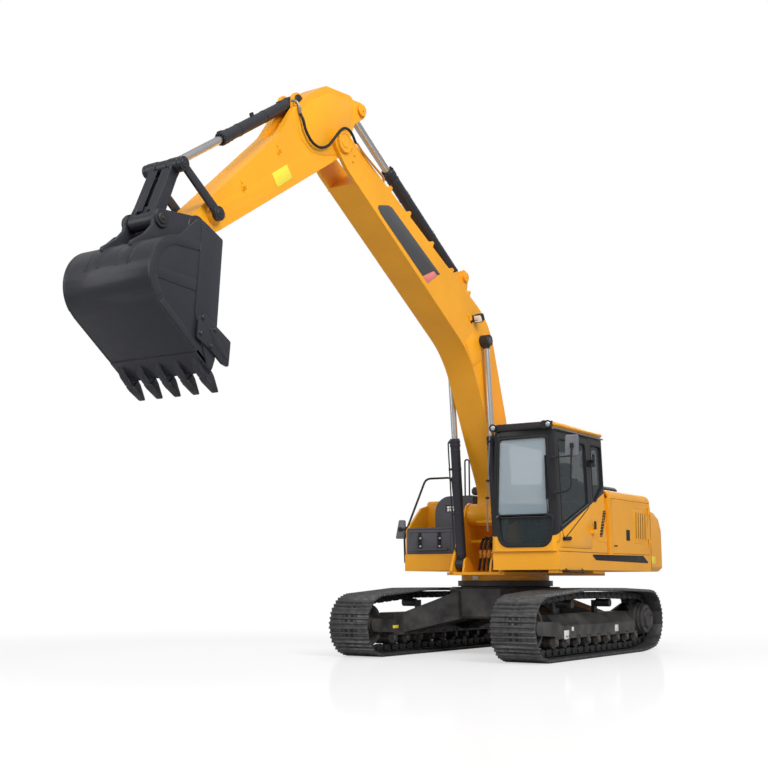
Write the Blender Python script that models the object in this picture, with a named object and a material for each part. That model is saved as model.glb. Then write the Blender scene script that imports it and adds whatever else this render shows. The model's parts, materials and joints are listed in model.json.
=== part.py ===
import math

import bmesh
import bpy
from mathutils import Matrix, Vector

# Crawler excavator. Metres and degrees. X forward, Y to the operator's left, Z up.
# Undercarriage and house are laid out from the slew axis, where it meets the ground.
GAP = 0.0003  # between pieces that touch
RUN = 0.005  # running clearance of pieces that move past each other
SLEW_X = -2.442  # the slew axis, measured from the point under the middle of the machine

# Tracks
GAUGE = 2.38
SHOE_WIDTH = 0.60
SHOE_COUNT = 49
PLATE_THICK = 0.012
GROUSER_HIGH = 0.026
GROUSER_BASE = 0.030
GROUSERS = (0.16, 0.50, 0.84)  # their places along a shoe
CHAIN_DEEP = 0.115  # shoe plate and link rail together
RAIL_THICK = 0.045
RAIL_SPACE = 0.150  # between the two rails' middles
IDLER_X, IDLER_Z, IDLER_SWEEP = 1.747, 0.408, 0.408  # sweep: radius out to the grousers' tips
SPROCKET_X, SPROCKET_Z, SPROCKET_SWEEP = -1.709, 0.449, 0.410
CARRIER_X, CARRIER_TOP = 0.62, 0.888  # carrier rollers and the top run's height over them
LAST_ROLLER_X = -1.36

# Track frames
BEAM_HALF = 0.17
BEAM_LOW, BEAM_SIDE, BEAM_TOP = 0.262, 0.42, 0.56
BEAM_FRONT, BEAM_REAR = 1.28, -1.32
ROLLER_COUNT = 9
ROLLER_R = 0.078
ROLLER_FRONT_X = 1.26
CARRIER_R = 0.055
YOKE_THICK = 0.032
DRIVE_PLATE = 0.035
TOOTH_COUNT = 21

# Carbody and slew ring
BODY_LOW, BODY_TOP = 0.48, 0.90
LEG_X, LEG_LONG = 0.84, 0.44
RING_R, RING_TOP = 0.66, 0.985

# Revolving frame
HOUSE_HALF = 1.36
FRAME_LOW, FRAME_TOP = 1.12, 1.355
FLOOR_LOW = 1.06
CAB_FRONT, RIGHT_FRONT = 1.138, 0.47
FRAME_REAR = -2.06
GIRDER_Y, GIRDER_THICK = 0.3553, 0.035
SKIRT_THICK = 0.05
TAIL_R = 2.83
WEIGHT_TOP = 2.08
BODY_ROOF = 2.24

# Cab
CAB_REAR, CAB_NOSE = -0.50, 1.165
CAB_RIGHT, CAB_LEFT = 0.40, 1.35
CAB_TOP, CAB_WALL = 2.95, 0.055
CAB_LEAN_LEFT, CAB_LEAN_RIGHT = 0.05, 0.06  # how far each side wall leans in at the roof
GLASS = 0.006

# Boom, in its own frame: u from the foot pin to the arm pin, v square to it
BOOM_FOOT = (0.31, 1.895)
BOOM_LONG, BOOM_ANGLE = 5.72, 46.0
BOOM_HALF = 0.21
LIFT_PIN = (2.142, 1.103)
LIFT_FOOT = (0.72, 1.21)
LIFT_Y = 0.286
CROWD_FOOT = (2.95, 1.49)

# Arm, in its own frame: u from the arm pin to the bucket pin
ARM_LONG, ARM_ANGLE = 2.95, -33.8
ARM_HALF = 0.16
CROWD_EYE = (-0.66, 0.21)
CURL_FOOT = (0.46, 0.64)
ROCKER_FOOT = (ARM_LONG - 0.35, 0.02)
ROCKER_LONG, LINK_LONG = 0.64, 0.66

# Bucket, in the axes of the machine at rest, from the bucket pin
BUCKET_HALF = 0.55
BUCKET_WALL = 0.028
EAR_LONG, EAR_ANGLE = 0.50, -4.0
EAR_Y, EAR_THICK = ARM_HALF + RUN, 0.04
ROCKER_Y, ROCKER_THICK = EAR_Y + EAR_THICK + RUN, 0.03
TOOTH_AT = (-0.47, -0.235, 0.0, 0.235, 0.47)

# Cylinders: barrel radius, rod radius, eye radius, half of the eye's width, barrel length to its gland
LIFT_CYL = dict(barrel=0.066, rod=0.042, eye=0.080, half=0.066, long=1.70, stroke=1.25)
CROWD_CYL = dict(barrel=0.078, rod=0.050, eye=0.085, half=0.082, long=2.02, stroke=1.56)
CURL_CYL = dict(barrel=0.066, rod=0.042, eye=0.070, half=0.070, long=1.42, stroke=1.10)
COLLAR = 0.007  # how far a barrel's head stands out


# Shapes are made in this collection, joined or cut, and handed on as nodes
def clear_scene():
    for thing in list(bpy.data.objects):
        bpy.data.objects.remove(thing)


clear_scene()
shapes = bpy.data.collections.new("shapes")
bpy.context.scene.collection.children.link(shapes)


def paint(name, colour, roughness, metallic=0.0, alpha=1.0):
    made = bpy.data.materials.new(name)
    made.use_nodes = True
    shader = made.node_tree.nodes["Principled BSDF"]
    shader.inputs["Base Color"].default_value = (*colour, 1.0)
    shader.inputs["Roughness"].default_value = roughness
    shader.inputs["Metallic"].default_value = metallic
    shader.inputs["Alpha"].default_value = alpha
    return made


ORANGE = paint("orange paint", (0.86, 0.38, 0.04), 0.35)
CHARCOAL = paint("charcoal paint", (0.06, 0.06, 0.07), 0.45)
SLATE = paint("slate paint", (0.10, 0.10, 0.12), 0.42)
BLACK = paint("black paint", (0.03, 0.03, 0.033), 0.5)
TRACK_STEEL = paint("track steel", (0.10, 0.10, 0.10), 0.5, 0.6)
CHROME = paint("chrome", (0.80, 0.80, 0.82), 0.12, 1.0)
GREY_PLASTIC = paint("grey plastic", (0.22, 0.22, 0.25), 0.5)
GLAZING = paint("glass", (0.60, 0.72, 0.75), 0.05, 0.0, 0.35)
SEAT_CLOTH = paint("seat cloth", (0.07, 0.07, 0.08), 0.8)


def as_shape(build):
    bmesh.ops.recalc_face_normals(build, faces=build.faces)
    mesh = bpy.data.meshes.new("shape")
    build.to_mesh(mesh)
    build.free()
    made = bpy.data.objects.new("shape", mesh)
    shapes.objects.link(made)
    return made


def arc(centre, radius, start, end, steps):
    turn = [math.radians(start + (end - start) * k / steps) for k in range(steps + 1)]
    return [(centre[0] + radius * math.cos(a), centre[1] + radius * math.sin(a)) for a in turn]


# Corners are (a, b) or (a, b, radius): the second kind is rounded
def rounded(corners, steps=4):
    points = []
    for k, corner in enumerate(corners):
        at = Vector(corner[:2])
        radius = corner[2] if len(corner) > 2 else 0
        before = Vector(corners[k - 1][:2]) - at
        after = Vector(corners[(k + 1) % len(corners)][:2]) - at
        if not radius:
            points.append(tuple(at))
            continue
        half = before.angle(after) / 2
        reach = min(radius / math.tan(half), 0.49 * before.length, 0.49 * after.length)
        radius = reach * math.tan(half)
        middle = at + (before.normalized() + after.normalized()).normalized() * radius / math.sin(half)
        first, last = at + before.normalized() * reach - middle, at + after.normalized() * reach - middle
        sweep = math.atan2(first.x * last.y - first.y * last.x, first.dot(last))
        for step in range(steps + 1):
            turned_by = Matrix.Rotation(sweep * step / steps, 2)
            points.append(tuple(middle + turned_by @ first))
    return points


# The outline drawn tight round circles (a, b, radius), listed anticlockwise
def belt(circles, step=18.0):
    def leaves(one, other):
        along = math.atan2(other[1] - one[1], other[0] - one[0])
        apart = math.hypot(other[0] - one[0], other[1] - one[1])
        return along - math.pi / 2 + math.asin((one[2] - other[2]) / apart)

    points = []
    for k, (a, b, radius) in enumerate(circles):
        start = leaves(circles[k - 1], circles[k])
        end = leaves(circles[k], circles[(k + 1) % len(circles)])
        while end < start - 1e-9:
            end += 2 * math.pi
        steps = max(1, math.ceil(math.degrees(end - start) / step)) if radius else 0
        points += arc((a, b), radius, math.degrees(start), math.degrees(end), steps) if steps else [(a, b)]
    return points


# An outline in the plane named, pushed along the third axis. edge bevels the rims of its two ends
def prism(outline, low, high, plane="XZ", edge=0.0):
    place = {
        "XZ": lambda a, b, c: (a, c, b),
        "XY": lambda a, b, c: (a, b, c),
        "YZ": lambda a, b, c: (c, a, b),
    }[plane]
    build = bmesh.new()
    base = build.faces.new([build.verts.new(place(a, b, low)) for a, b in outline])
    pushed = bmesh.ops.extrude_face_region(build, geom=[base])
    shift = Vector(place(0, 0, high)) - Vector(place(0, 0, low))
    tops = [item for item in pushed["geom"] if isinstance(item, bmesh.types.BMVert)]
    bmesh.ops.translate(build, verts=tops, vec=shift)
    if edge:
        tops_and_base = set(tops), set(base.verts)
        rims = [rim for rim in build.edges for ends in tops_and_base if set(rim.verts) <= ends]
        bmesh.ops.bevel(build, geom=rims, offset=edge, segments=1, affect="EDGES")
    return as_shape(build)


def box(x, y, z, edge=0.0):
    build = bmesh.new()
    bmesh.ops.create_cube(build, size=1.0)
    for vertex in build.verts:
        vertex.co = [low + (high - low) * (part + 0.5) for part, (low, high) in zip(vertex.co, (x, y, z))]
    if edge:
        bmesh.ops.bevel(build, geom=build.edges[:], offset=edge, segments=1, affect="EDGES")
    return as_shape(build)


# Rings of (distance along the axis, radius), turned about the line from start along direction
def turned(rings, start, direction, sides=16):
    axis = Vector(direction).normalized()
    side = axis.orthogonal().normalized()
    other = axis.cross(side)
    build = bmesh.new()
    loops = []
    for along, radius in rings:
        centre = Vector(start) + axis * along
        turns = [2 * math.pi * k / sides for k in range(sides)]
        loops.append(
            [build.verts.new(centre + radius * (side * math.cos(a) + other * math.sin(a))) for a in turns],
        )
    for one, next_one in zip(loops, loops[1:]):
        for k in range(sides):
            near = (k + 1) % sides
            build.faces.new((one[k], one[near], next_one[near], next_one[k]))
    build.faces.new(loops[0][::-1])
    build.faces.new(loops[-1])
    return as_shape(build)


def rod(start, end, radius, sides=16):
    reach = Vector(end) - Vector(start)
    return turned([(0, radius), (reach.length, radius)], start, reach, sides)


# A pin or boss across the machine, at (a, b) in the side view
def across(at, radius, low, high, sides=16):
    return rod((at[0], low, at[1]), (at[0], high, at[1]), radius, sides)


# Sections of equal counts of points, joined in turn and closed at both ends
def loft(sections):
    build = bmesh.new()
    loops = [[build.verts.new(point) for point in section] for section in sections]
    count = len(loops[0])
    for one, next_one in zip(loops, loops[1:]):
        for k in range(count):
            near = (k + 1) % count
            build.faces.new((one[k], one[near], next_one[near], next_one[k]))
    build.faces.new(loops[0][::-1])
    build.faces.new(loops[-1])
    return as_shape(build)


# A bent round bar through points
def tube(points, radius, name="tube"):
    curve = bpy.data.curves.new(name, "CURVE")
    curve.dimensions = "3D"
    curve.bevel_depth, curve.bevel_resolution, curve.use_fill_caps = radius, 2, True
    line = curve.splines.new("POLY")
    line.points.add(len(points) - 1)
    for spot, point in zip(line.points, points):
        spot.co = (*point, 1.0)
    made = bpy.data.objects.new(name, curve)
    shapes.objects.link(made)
    return baked(made)


# Rounded path through corners, each bend on its own radius
def bent(corners, radius, steps=5):
    points = [Vector(corners[0])]
    for before, at, after in zip(corners, corners[1:], corners[2:]):
        at = Vector(at)
        back, on = (Vector(before) - at), (Vector(after) - at)
        reach = min(radius, 0.45 * back.length, 0.45 * on.length)
        first, last = at + back.normalized() * reach, at + on.normalized() * reach
        for step in range(steps + 1):
            t = step / steps
            points.append((1 - t) ** 2 * first + 2 * t * (1 - t) * at + t * t * last)
    return points + [Vector(corners[-1])]


def baked(shape):
    bpy.context.view_layer.update()
    graph = bpy.context.evaluated_depsgraph_get()
    mesh = bpy.data.meshes.new_from_object(shape.evaluated_get(graph))
    made = bpy.data.objects.new("shape", mesh)
    shapes.objects.link(made)
    bpy.data.objects.remove(shape)
    return made


def worked(base, others, operation):
    for other in others:
        step = base.modifiers.new(operation.lower(), "BOOLEAN")
        step.operation, step.solver, step.object = operation, "EXACT", other
    result = baked(base)
    for other in others:
        bpy.data.objects.remove(other)
    return result


def fused(base, *others):
    return worked(base, others, "UNION")


def cut(base, *others):
    return worked(base, others, "DIFFERENCE")


def moved(shape, matrix):
    shape.data.transform(matrix)
    if matrix.determinant() < 0:
        shape.data.flip_normals()
    return shape


def copied(shape):
    made = bpy.data.objects.new("shape", shape.data.copy())
    shapes.objects.link(made)
    return made


def mirrored(shape):
    return moved(copied(shape), Matrix.Scale(-1, 4, (0, 1, 0)))


def both_sides(shape):
    return shape, mirrored(shape)


def pivot(name, at=(0, 0, 0), pitch=0.0, carrier=None):
    made = bpy.data.objects.new(name, None)
    bpy.context.scene.collection.objects.link(made)
    made.parent = carrier
    made.location = at
    made.rotation_euler = (0, -math.radians(pitch), 0)
    made.empty_display_size = 0.3
    return made


def node(name, shape, material, carrier):
    shapes.objects.unlink(shape)
    bpy.context.scene.collection.objects.link(shape)
    shape.name = shape.data.name = name
    shape.parent = carrier
    shape.data.materials.clear()
    shape.data.materials.append(material)
    shape.data.shade_smooth()
    shape.data.set_sharp_from_angle(angle=math.radians(32))
    return shape


def turned_point(point, angle):
    c, s = math.cos(math.radians(angle)), math.sin(math.radians(angle))
    return c * point[0] - s * point[1], s * point[0] + c * point[1]


def added(*points):
    return tuple(sum(parts) for parts in zip(*points))


machine = pivot("machine", (SLEW_X, 0, 0))
house = pivot("slew_axis", carrier=machine)


# Tracks. The line that the shoes' plates lie on runs tight round five circles
def shoe_joints():
    plate = GROUSER_HIGH
    carrier_r = 0.30
    line = belt(
        [
            (LAST_ROLLER_X, plate + 0.10, 0.10),
            (IDLER_X, IDLER_Z, IDLER_SWEEP - plate),
            (CARRIER_X, CARRIER_TOP - plate - carrier_r, carrier_r),
            (-CARRIER_X, CARRIER_TOP - plate - carrier_r, carrier_r),
            (SPROCKET_X, SPROCKET_Z, SPROCKET_SWEEP - plate),
        ],
        step=3.0,
    )
    line = [Vector(point) for point in line]
    line.append(line[0])
    steps = [(b - a).length for a, b in zip(line, line[1:])]
    pitch = sum(steps) / SHOE_COUNT
    joints, walked, goal = [], 0.0, 0.0
    for a, b, long in zip(line, line[1:], steps):
        while goal < walked + long and len(joints) < SHOE_COUNT:
            joints.append(a + (b - a) * (goal - walked) / long)
            goal += pitch
        walked += long
    return joints


def outward(start, end):
    along = (end - start).normalized()
    return Vector((along.y, -along.x))


def joint_normals(joints):
    edges = [outward(a, b) for a, b in zip(joints, joints[1:] + joints[:1])]
    return [(edges[k - 1] + edges[k]).normalized() for k in range(len(joints))]


def shoe_ring(joints):
    normals = joint_normals(joints)
    build = bmesh.new()

    def ends(point):
        return [build.verts.new((point.x, y, point.y)) for y in (-SHOE_WIDTH / 2, SHOE_WIDTH / 2)]

    inner = [ends(at - normal * PLATE_THICK) for at, normal in zip(joints, normals)]
    shoes = []
    for at, after in zip(joints, joints[1:] + joints[:1]):
        out = outward(at, after)
        along = after - at
        shoe = []
        for place in GROUSERS:
            foot = along.normalized() * GROUSER_BASE / 2
            middle = at + along * place
            shoe += [ends(middle - foot), ends(middle + out * GROUSER_HIGH), ends(middle + foot)]
        shoes.append(shoe)
    rim = [corner for shoe in shoes for corner in shoe]
    for loop in (rim, inner):
        for one, after in zip(loop, loop[1:] + loop[:1]):
            build.faces.new((one[0], after[0], after[1], one[1]))
    for side in (0, 1):
        for k, shoe in enumerate(shoes):
            follow = (k + 1) % len(shoes)
            start, end = inner[k][side], inner[follow][side]
            build.faces.new([start] + [corner[side] for corner in shoe] + [end])
            build.faces.new((shoe[-1][side], shoes[follow][0][side], end))
    return as_shape(build)


def rail_ring(joints, y):
    normals = joint_normals(joints)
    build = bmesh.new()
    loops = []
    for depth in (0.85 * PLATE_THICK, CHAIN_DEEP):
        for side in (y - RAIL_THICK / 2, y + RAIL_THICK / 2):
            points = [at - normal * depth for at, normal in zip(joints, normals)]
            loops.append([build.verts.new((point.x, side, point.y)) for point in points])
    for one, other in ((0, 1), (1, 3), (3, 2), (2, 0)):
        for k in range(len(joints)):
            near = (k + 1) % len(joints)
            build.faces.new((loops[one][k], loops[one][near], loops[other][near], loops[other][k]))
    return as_shape(build)


def tracks():
    joints = shoe_joints()
    track = fused(shoe_ring(joints), rail_ring(joints, RAIL_SPACE / 2), rail_ring(joints, -RAIL_SPACE / 2))
    other = copied(track)
    moved(track, Matrix.Translation((0, GAUGE / 2, 0)))
    moved(other, Matrix.Translation((0, -GAUGE / 2, 0)))
    node("track_left", track, TRACK_STEEL, machine)
    node("track_right", other, TRACK_STEEL, machine)


# The chain's rails are flat between joints, so what runs inside them stays within the flats
def inside_chain(sweep):
    line_r = sweep - GROUSER_HIGH
    length = 2 * (IDLER_X - SPROCKET_X) + math.pi * (IDLER_SWEEP + SPROCKET_SWEEP - 2 * GROUSER_HIGH)
    half_turn = length / SHOE_COUNT / line_r / 2
    return (line_r - CHAIN_DEEP) * math.cos(half_turn) - GAP


def idlers():
    rim = inside_chain(IDLER_SWEEP)
    guide = RAIL_SPACE / 2 - RAIL_THICK / 2 - RUN
    tread = RAIL_SPACE / 2 + RAIL_THICK / 2
    hub = BEAM_HALF - YOKE_THICK - GAP
    rings = [(-hub, 0.065), (-tread, 0.13), (-tread + 0.02, rim - 0.05), (-tread, rim)]
    rings += [(-guide, rim), (-guide, rim + 0.03)]
    rings += [(-along, radius) for along, radius in reversed(rings)]
    wheel = turned(rings, (IDLER_X, GAUGE / 2, IDLER_Z), (0, 1, 0), 24)
    for name, shape in zip(("idler_left", "idler_right"), both_sides(wheel)):
        node(name, shape, BLACK, machine)


def sprocket_outline():
    root = inside_chain(SPROCKET_SWEEP)
    tip = SPROCKET_SWEEP - GROUSER_HIGH - PLATE_THICK - 0.04
    points = []
    for k in range(TOOTH_COUNT):
        turn = 360 / TOOTH_COUNT
        for part, radius in ((0.0, root), (0.34, root), (0.52, tip), (0.82, tip)):
            points += arc((SPROCKET_X, SPROCKET_Z), radius, turn * (k + part), turn * (k + part), 1)[:1]
    return points


def sprockets():
    middle = GAUGE / 2
    plate = BEAM_HALF - DRIVE_PLATE - GAP
    teeth = prism(sprocket_outline(), middle - 0.026, middle + 0.026)
    rings = (
        (-plate, 0.20), (-0.03, 0.235), (0.10, 0.235), (0.15, 0.215), (0.20, 0.205), (0.225, 0.15),
        (0.25, 0.12),
    )
    hub = turned(rings, (SPROCKET_X, middle, SPROCKET_Z), (0, 1, 0), 20)
    for name, shape in zip(("sprocket_left", "sprocket_right"), both_sides(fused(teeth, hub))):
        node(name, shape, BLACK, machine)


def track_frames():
    middle = GAUGE / 2
    inner, outer = middle - BEAM_HALF, middle + BEAM_HALF
    section = [
        (inner, BEAM_LOW), (outer, BEAM_LOW), (outer, BEAM_SIDE), (middle + 0.06, BEAM_TOP),
        (inner, BEAM_TOP),
    ]
    parts = [prism(section, BEAM_REAR, BEAM_FRONT, "YZ")]
    rail_z = GROUSER_HIGH + CHAIN_DEEP
    roller_z = rail_z + RUN / 2 + ROLLER_R
    spacing = (ROLLER_FRONT_X - LAST_ROLLER_X) / (ROLLER_COUNT - 1)
    for k in range(ROLLER_COUNT):
        at = (ROLLER_FRONT_X - k * spacing, roller_z)
        parts.append(across(at, ROLLER_R, middle - 0.13, middle + 0.13, 14))
        parts.append(across(at, 0.045, middle - 0.15, middle + 0.15, 8))
        parts.append(
            box(
                (at[0] - 0.05, at[0] + 0.05), (inner + 0.002, outer - 0.002),
                (roller_z - 0.047, BEAM_LOW + 0.02),
            ),
        )
    for x in (CARRIER_X, -CARRIER_X):
        at = (x, CARRIER_TOP - GROUSER_HIGH - CHAIN_DEEP - RUN - CARRIER_R)
        parts.append(across(at, CARRIER_R, middle - 0.10, middle + 0.10, 14))
        parts.append(across(at, 0.03, inner + 0.02, middle, 10))
        parts.append(
            box((x - 0.05, x + 0.05), (inner + 0.01, middle - 0.115), (BEAM_TOP - 0.02, at[1] + 0.035)),
        )
    arm = belt(
        [
            (BEAM_FRONT - 0.1, BEAM_LOW + 0.07, 0.04), (IDLER_X, IDLER_Z, 0.085),
            (BEAM_FRONT - 0.1, BEAM_SIDE, 0.05),
        ],
    )
    for low, high in ((inner, inner + YOKE_THICK), (outer - YOKE_THICK, outer)):
        parts.append(prism(arm, low, high))
    carrier = belt(
        [
            (BEAM_REAR + 0.1, BEAM_LOW + 0.06, 0.05), (BEAM_REAR + 0.1, BEAM_TOP - 0.06, 0.05),
            (SPROCKET_X, SPROCKET_Z, 0.22),
        ],
    )
    parts.append(prism(carrier, inner, inner + DRIVE_PLATE))
    parts.append(across((SPROCKET_X, SPROCKET_Z), 0.15, inner - 0.10, inner + 0.01))
    for name, shape in zip(("track_frame_left", "track_frame_right"), both_sides(fused(*parts))):
        node(name, shape, BLACK, machine)


def carbody():
    centre = prism([turned_point((0.78, 0), 22.5 + 45 * k) for k in range(8)], BODY_LOW, BODY_TOP, "XY", 0.03)
    face = GAUGE / 2 - BEAM_HALF - GAP
    leg = []
    for y, x, long, low, high in (
        (0.30, 0.30, 0.56, BODY_LOW + 0.01, BODY_TOP - 0.01), (face, LEG_X, LEG_LONG, 0.29, BEAM_TOP),
    ):
        leg.append(
            [
                (x - long / 2, y, low), (x + long / 2, y, low), (x + long / 2, y, high),
                (x - long / 2, y, high),
            ],
        )
    front = both_sides(loft(leg))
    rear = [moved(copied(shape), Matrix.Scale(-1, 4, (1, 0, 0))) for shape in front]
    ring = turned(
        [(0, RING_R - 0.04), (0.03, RING_R - 0.04), (0.03, RING_R), (RING_TOP - BODY_TOP + 0.02, RING_R)],
        (0, 0, BODY_TOP - 0.02), (0, 0, 1), 40,
    )
    swivel = rod((0, 0, BODY_LOW - 0.05), (0, 0, BODY_LOW + 0.02), 0.16)
    node("carbody", fused(centre, *front, *rear, ring, swivel), BLACK, machine)


# House
def boom_lug(outer):
    foot = BOOM_FOOT
    nose = LIFT_FOOT[0] + 0.10
    lug = belt(
        [
            (foot[0] - 0.62, FLOOR_LOW + 0.06, 0.05), (nose, FLOOR_LOW + 0.06, 0.05),
            (LIFT_FOOT[0], LIFT_FOOT[1], 0.11), (foot[0], foot[1], 0.165),
        ],
    )
    return prism(lug, GIRDER_Y, outer)


def revolving_frame():
    outer = GIRDER_Y + GIRDER_THICK
    parts = [
        prism(
            [
                (FRAME_REAR, -0.62), (0.55, -0.62), (LIFT_FOOT[0] + 0.12, -0.42),
                (LIFT_FOOT[0] + 0.12, 0.42), (0.55, 0.62), (FRAME_REAR, 0.62),
            ],
            FLOOR_LOW, FLOOR_LOW + 0.04, "XY",
        ),
    ]
    parts.append(rod((0, 0, RING_TOP + GAP), (0, 0, FLOOR_LOW + 0.01), RING_R - 0.05, 40))
    girder = prism(
        [
            (FRAME_REAR, FLOOR_LOW + 0.02), (0.1, FLOOR_LOW + 0.02), (0.1, FRAME_TOP + 0.16),
            (-0.45, FRAME_TOP), (FRAME_REAR, FRAME_TOP),
        ],
        GIRDER_Y, outer,
    )
    parts += both_sides(girder)
    parts += both_sides(boom_lug(outer))
    parts += both_sides(across(BOOM_FOOT, 0.12, outer - 0.01, CAB_RIGHT - 0.002, 16))
    eye = LIFT_CYL["half"] + GAP
    ear = belt(
        [
            (LIFT_FOOT[0] - 0.16, FLOOR_LOW + 0.05, 0.04), (LIFT_FOOT[0] + 0.07, FLOOR_LOW + 0.05, 0.04),
            (LIFT_FOOT[0], LIFT_FOOT[1], 0.085),
        ],
    )
    parts += both_sides(prism(ear, LIFT_Y - eye - 0.03, LIFT_Y - eye))
    parts.append(box((0.02, 0.06), (-GIRDER_Y - 0.01, GIRDER_Y + 0.01), (FLOOR_LOW + 0.02, FRAME_TOP)))
    # side skirts, end beams and outriggers: x0, x1, y0, y1
    skirt = HOUSE_HALF - SKIRT_THICK
    beams = (
        (FRAME_REAR, CAB_FRONT, skirt, HOUSE_HALF),
        (CAB_FRONT - SKIRT_THICK, CAB_FRONT, CAB_RIGHT + 0.02, HOUSE_HALF),
        (0.0, CAB_FRONT, CAB_RIGHT + 0.02, CAB_RIGHT + 0.07),
        (FRAME_REAR, RIGHT_FRONT, -HOUSE_HALF, -skirt),
        (RIGHT_FRONT - SKIRT_THICK, RIGHT_FRONT, -HOUSE_HALF, -outer + 0.01),
    )
    for x0, x1, y0, y1 in beams:
        parts.append(box((x0, x1), (y0, y1), (FRAME_LOW, FRAME_TOP)))
    for x in (-2.0, -1.25, -0.55, 0.0):
        for y0, y1 in ((outer - 0.01, skirt + 0.01), (-skirt - 0.01, -outer + 0.01)):
            parts.append(box((x, x + 0.06), (y0, y1), (FRAME_LOW + 0.01, FRAME_TOP - 0.01)))
    deck = FRAME_TOP - 0.012
    parts.append(box((FRAME_REAR, CAB_FRONT - 0.01), (outer - 0.01, skirt + 0.01), (deck, FRAME_TOP)))
    parts.append(box((FRAME_REAR, RIGHT_FRONT - 0.01), (-skirt - 0.01, -outer + 0.01), (deck, FRAME_TOP)))
    node("revolving_frame", fused(*parts), ORANGE, house)


def counterweight():
    sections = []
    front = FRAME_REAR - GAP
    for z, inset in (
        (FRAME_LOW, 0.05), (FRAME_LOW + 0.06, 0.0), (1.72, 0.0), (1.90, 0.03), (2.00, 0.09),
        (WEIGHT_TOP, 0.22),
    ):
        half, radius = HOUSE_HALF - inset, TAIL_R - inset
        corner = 0.22
        rear = -math.sqrt(radius**2 - (half - corner) ** 2)
        angle = math.degrees(math.asin((half - corner) / radius))
        side = rounded([(front, half), (rear, half, corner), (rear - 0.01, half - corner)], 4)[:-1]
        tail = [
            (-radius * math.cos(math.radians(a)), radius * math.sin(math.radians(a)))
            for a in [angle * (1 - k / 6) for k in range(7)]
        ]
        left = side + tail
        right = [(x, -y) for x, y in reversed(left[:-1])]
        sections.append([(x, y, z) for x, y in left + right])
    node("counterweight", loft(sections), ORANGE, house)


# Wall frames of the cab: u along the wall, w up it, n out of it
def wall(origin, along, up):
    along, up = Vector(along).normalized(), Vector(up).normalized()
    matrix = Matrix((along, up, along.cross(up))).transposed().to_4x4()
    matrix.translation = origin
    return matrix


CAB_BASE = FRAME_TOP + GAP
CAB_HIGH = CAB_TOP - CAB_BASE
# where: (wall, corners of its window in the wall's u and w, with their radii)
WALLS = dict(
    front=wall((CAB_NOSE, CAB_RIGHT, CAB_BASE), (0, 1, 0), (0, 0, 1)),
    left=wall((CAB_REAR, CAB_LEFT, CAB_BASE), (1, 0, 0), (0, -CAB_LEAN_LEFT, CAB_HIGH)),
    right=wall((CAB_REAR, CAB_RIGHT, CAB_BASE), (1, 0, 0), (0, CAB_LEAN_RIGHT, CAB_HIGH)),
    rear=wall((CAB_REAR, CAB_RIGHT, CAB_BASE), (0, 1, 0), (0, 0, 1)),
)
DOOR_U = (0.535, 1.545)  # the door's rear and front edges on the left wall
DOOR_W = (0.045, 1.545)
DOOR_HINGE = (CAB_REAR + DOOR_U[0] - 0.02, CAB_LEFT + 0.03)
CAB_KNUCKLE, CAB_KNUCKLES = 0.016, (0.25, 1.15)  # radius, and their heights above the cab's floor
KNUCKLE, KNUCKLE_LONG = 0.014, 0.05


def cab_width(w):
    part = w / CAB_HIGH
    return CAB_LEAN_RIGHT * part, CAB_LEFT - CAB_RIGHT - CAB_LEAN_LEFT * part


def front_window(low, high, side=0.085, corner=0.05):
    bottom, top = cab_width(low), cab_width(high)
    return [
        (bottom[0] + side, low, corner), (bottom[1] - side, low, corner), (top[1] - side, high, corner),
        (top[0] + side, high, corner),
    ]


WINDOWS = dict(
    windscreen_upper=("front", front_window(0.47, 1.46)),
    windscreen_lower=(
        "front", [(0.16, 0.09, 0.12), (0.83, 0.09, 0.12), (0.89, 0.43, 0.03), (0.12, 0.43, 0.03)],
    ),
    glass_side_rear=(
        "left", [(0.09, 0.92, 0.05), (0.44, 0.64, 0.05), (0.44, 1.46, 0.05), (0.09, 1.46, 0.05)],
    ),
    glass_right=("right", [(0.16, 0.55, 0.06), (1.54, 0.55, 0.06), (1.54, 1.46, 0.06), (0.16, 1.46, 0.06)]),
    glass_rear=("rear", [(0.16, 0.92, 0.05), (0.84, 0.92, 0.05), (0.82, 1.44, 0.05), (0.19, 1.44, 0.05)]),
)
DOOR_WINDOW = [(0.62, 0.60, 0.06), (1.47, 0.14, 0.06), (1.47, 1.45, 0.06), (0.62, 1.45, 0.06)]


def inset(corners, by):
    middle = [sum(corner[k] for corner in corners) / len(corners) for k in (0, 1)]
    grown = []
    for a, b, radius in corners:
        reach = math.hypot(a - middle[0], b - middle[1])
        shrink = 1 - by * 1.45 / reach
        grown.append((middle[0] + (a - middle[0]) * shrink, middle[1] + (b - middle[1]) * shrink, radius))
    return grown


def in_wall(name, corners, low, high, steps=4):
    return moved(prism(rounded(corners, steps), low, high, "XY"), WALLS[name])


def cab_section(z, by):
    part = (z - CAB_BASE) / CAB_HIGH
    left, right = CAB_LEFT - CAB_LEAN_LEFT * part - by, CAB_RIGHT + CAB_LEAN_RIGHT * part + by
    front, rear = CAB_NOSE - by, CAB_REAR + by
    corner = 0.06
    return [
        (x, y, z)
        for x, y in rounded(
            [(rear, right, corner), (front, right, corner), (front, left, corner), (rear, left, corner)], 2,
        )
    ]


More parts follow.
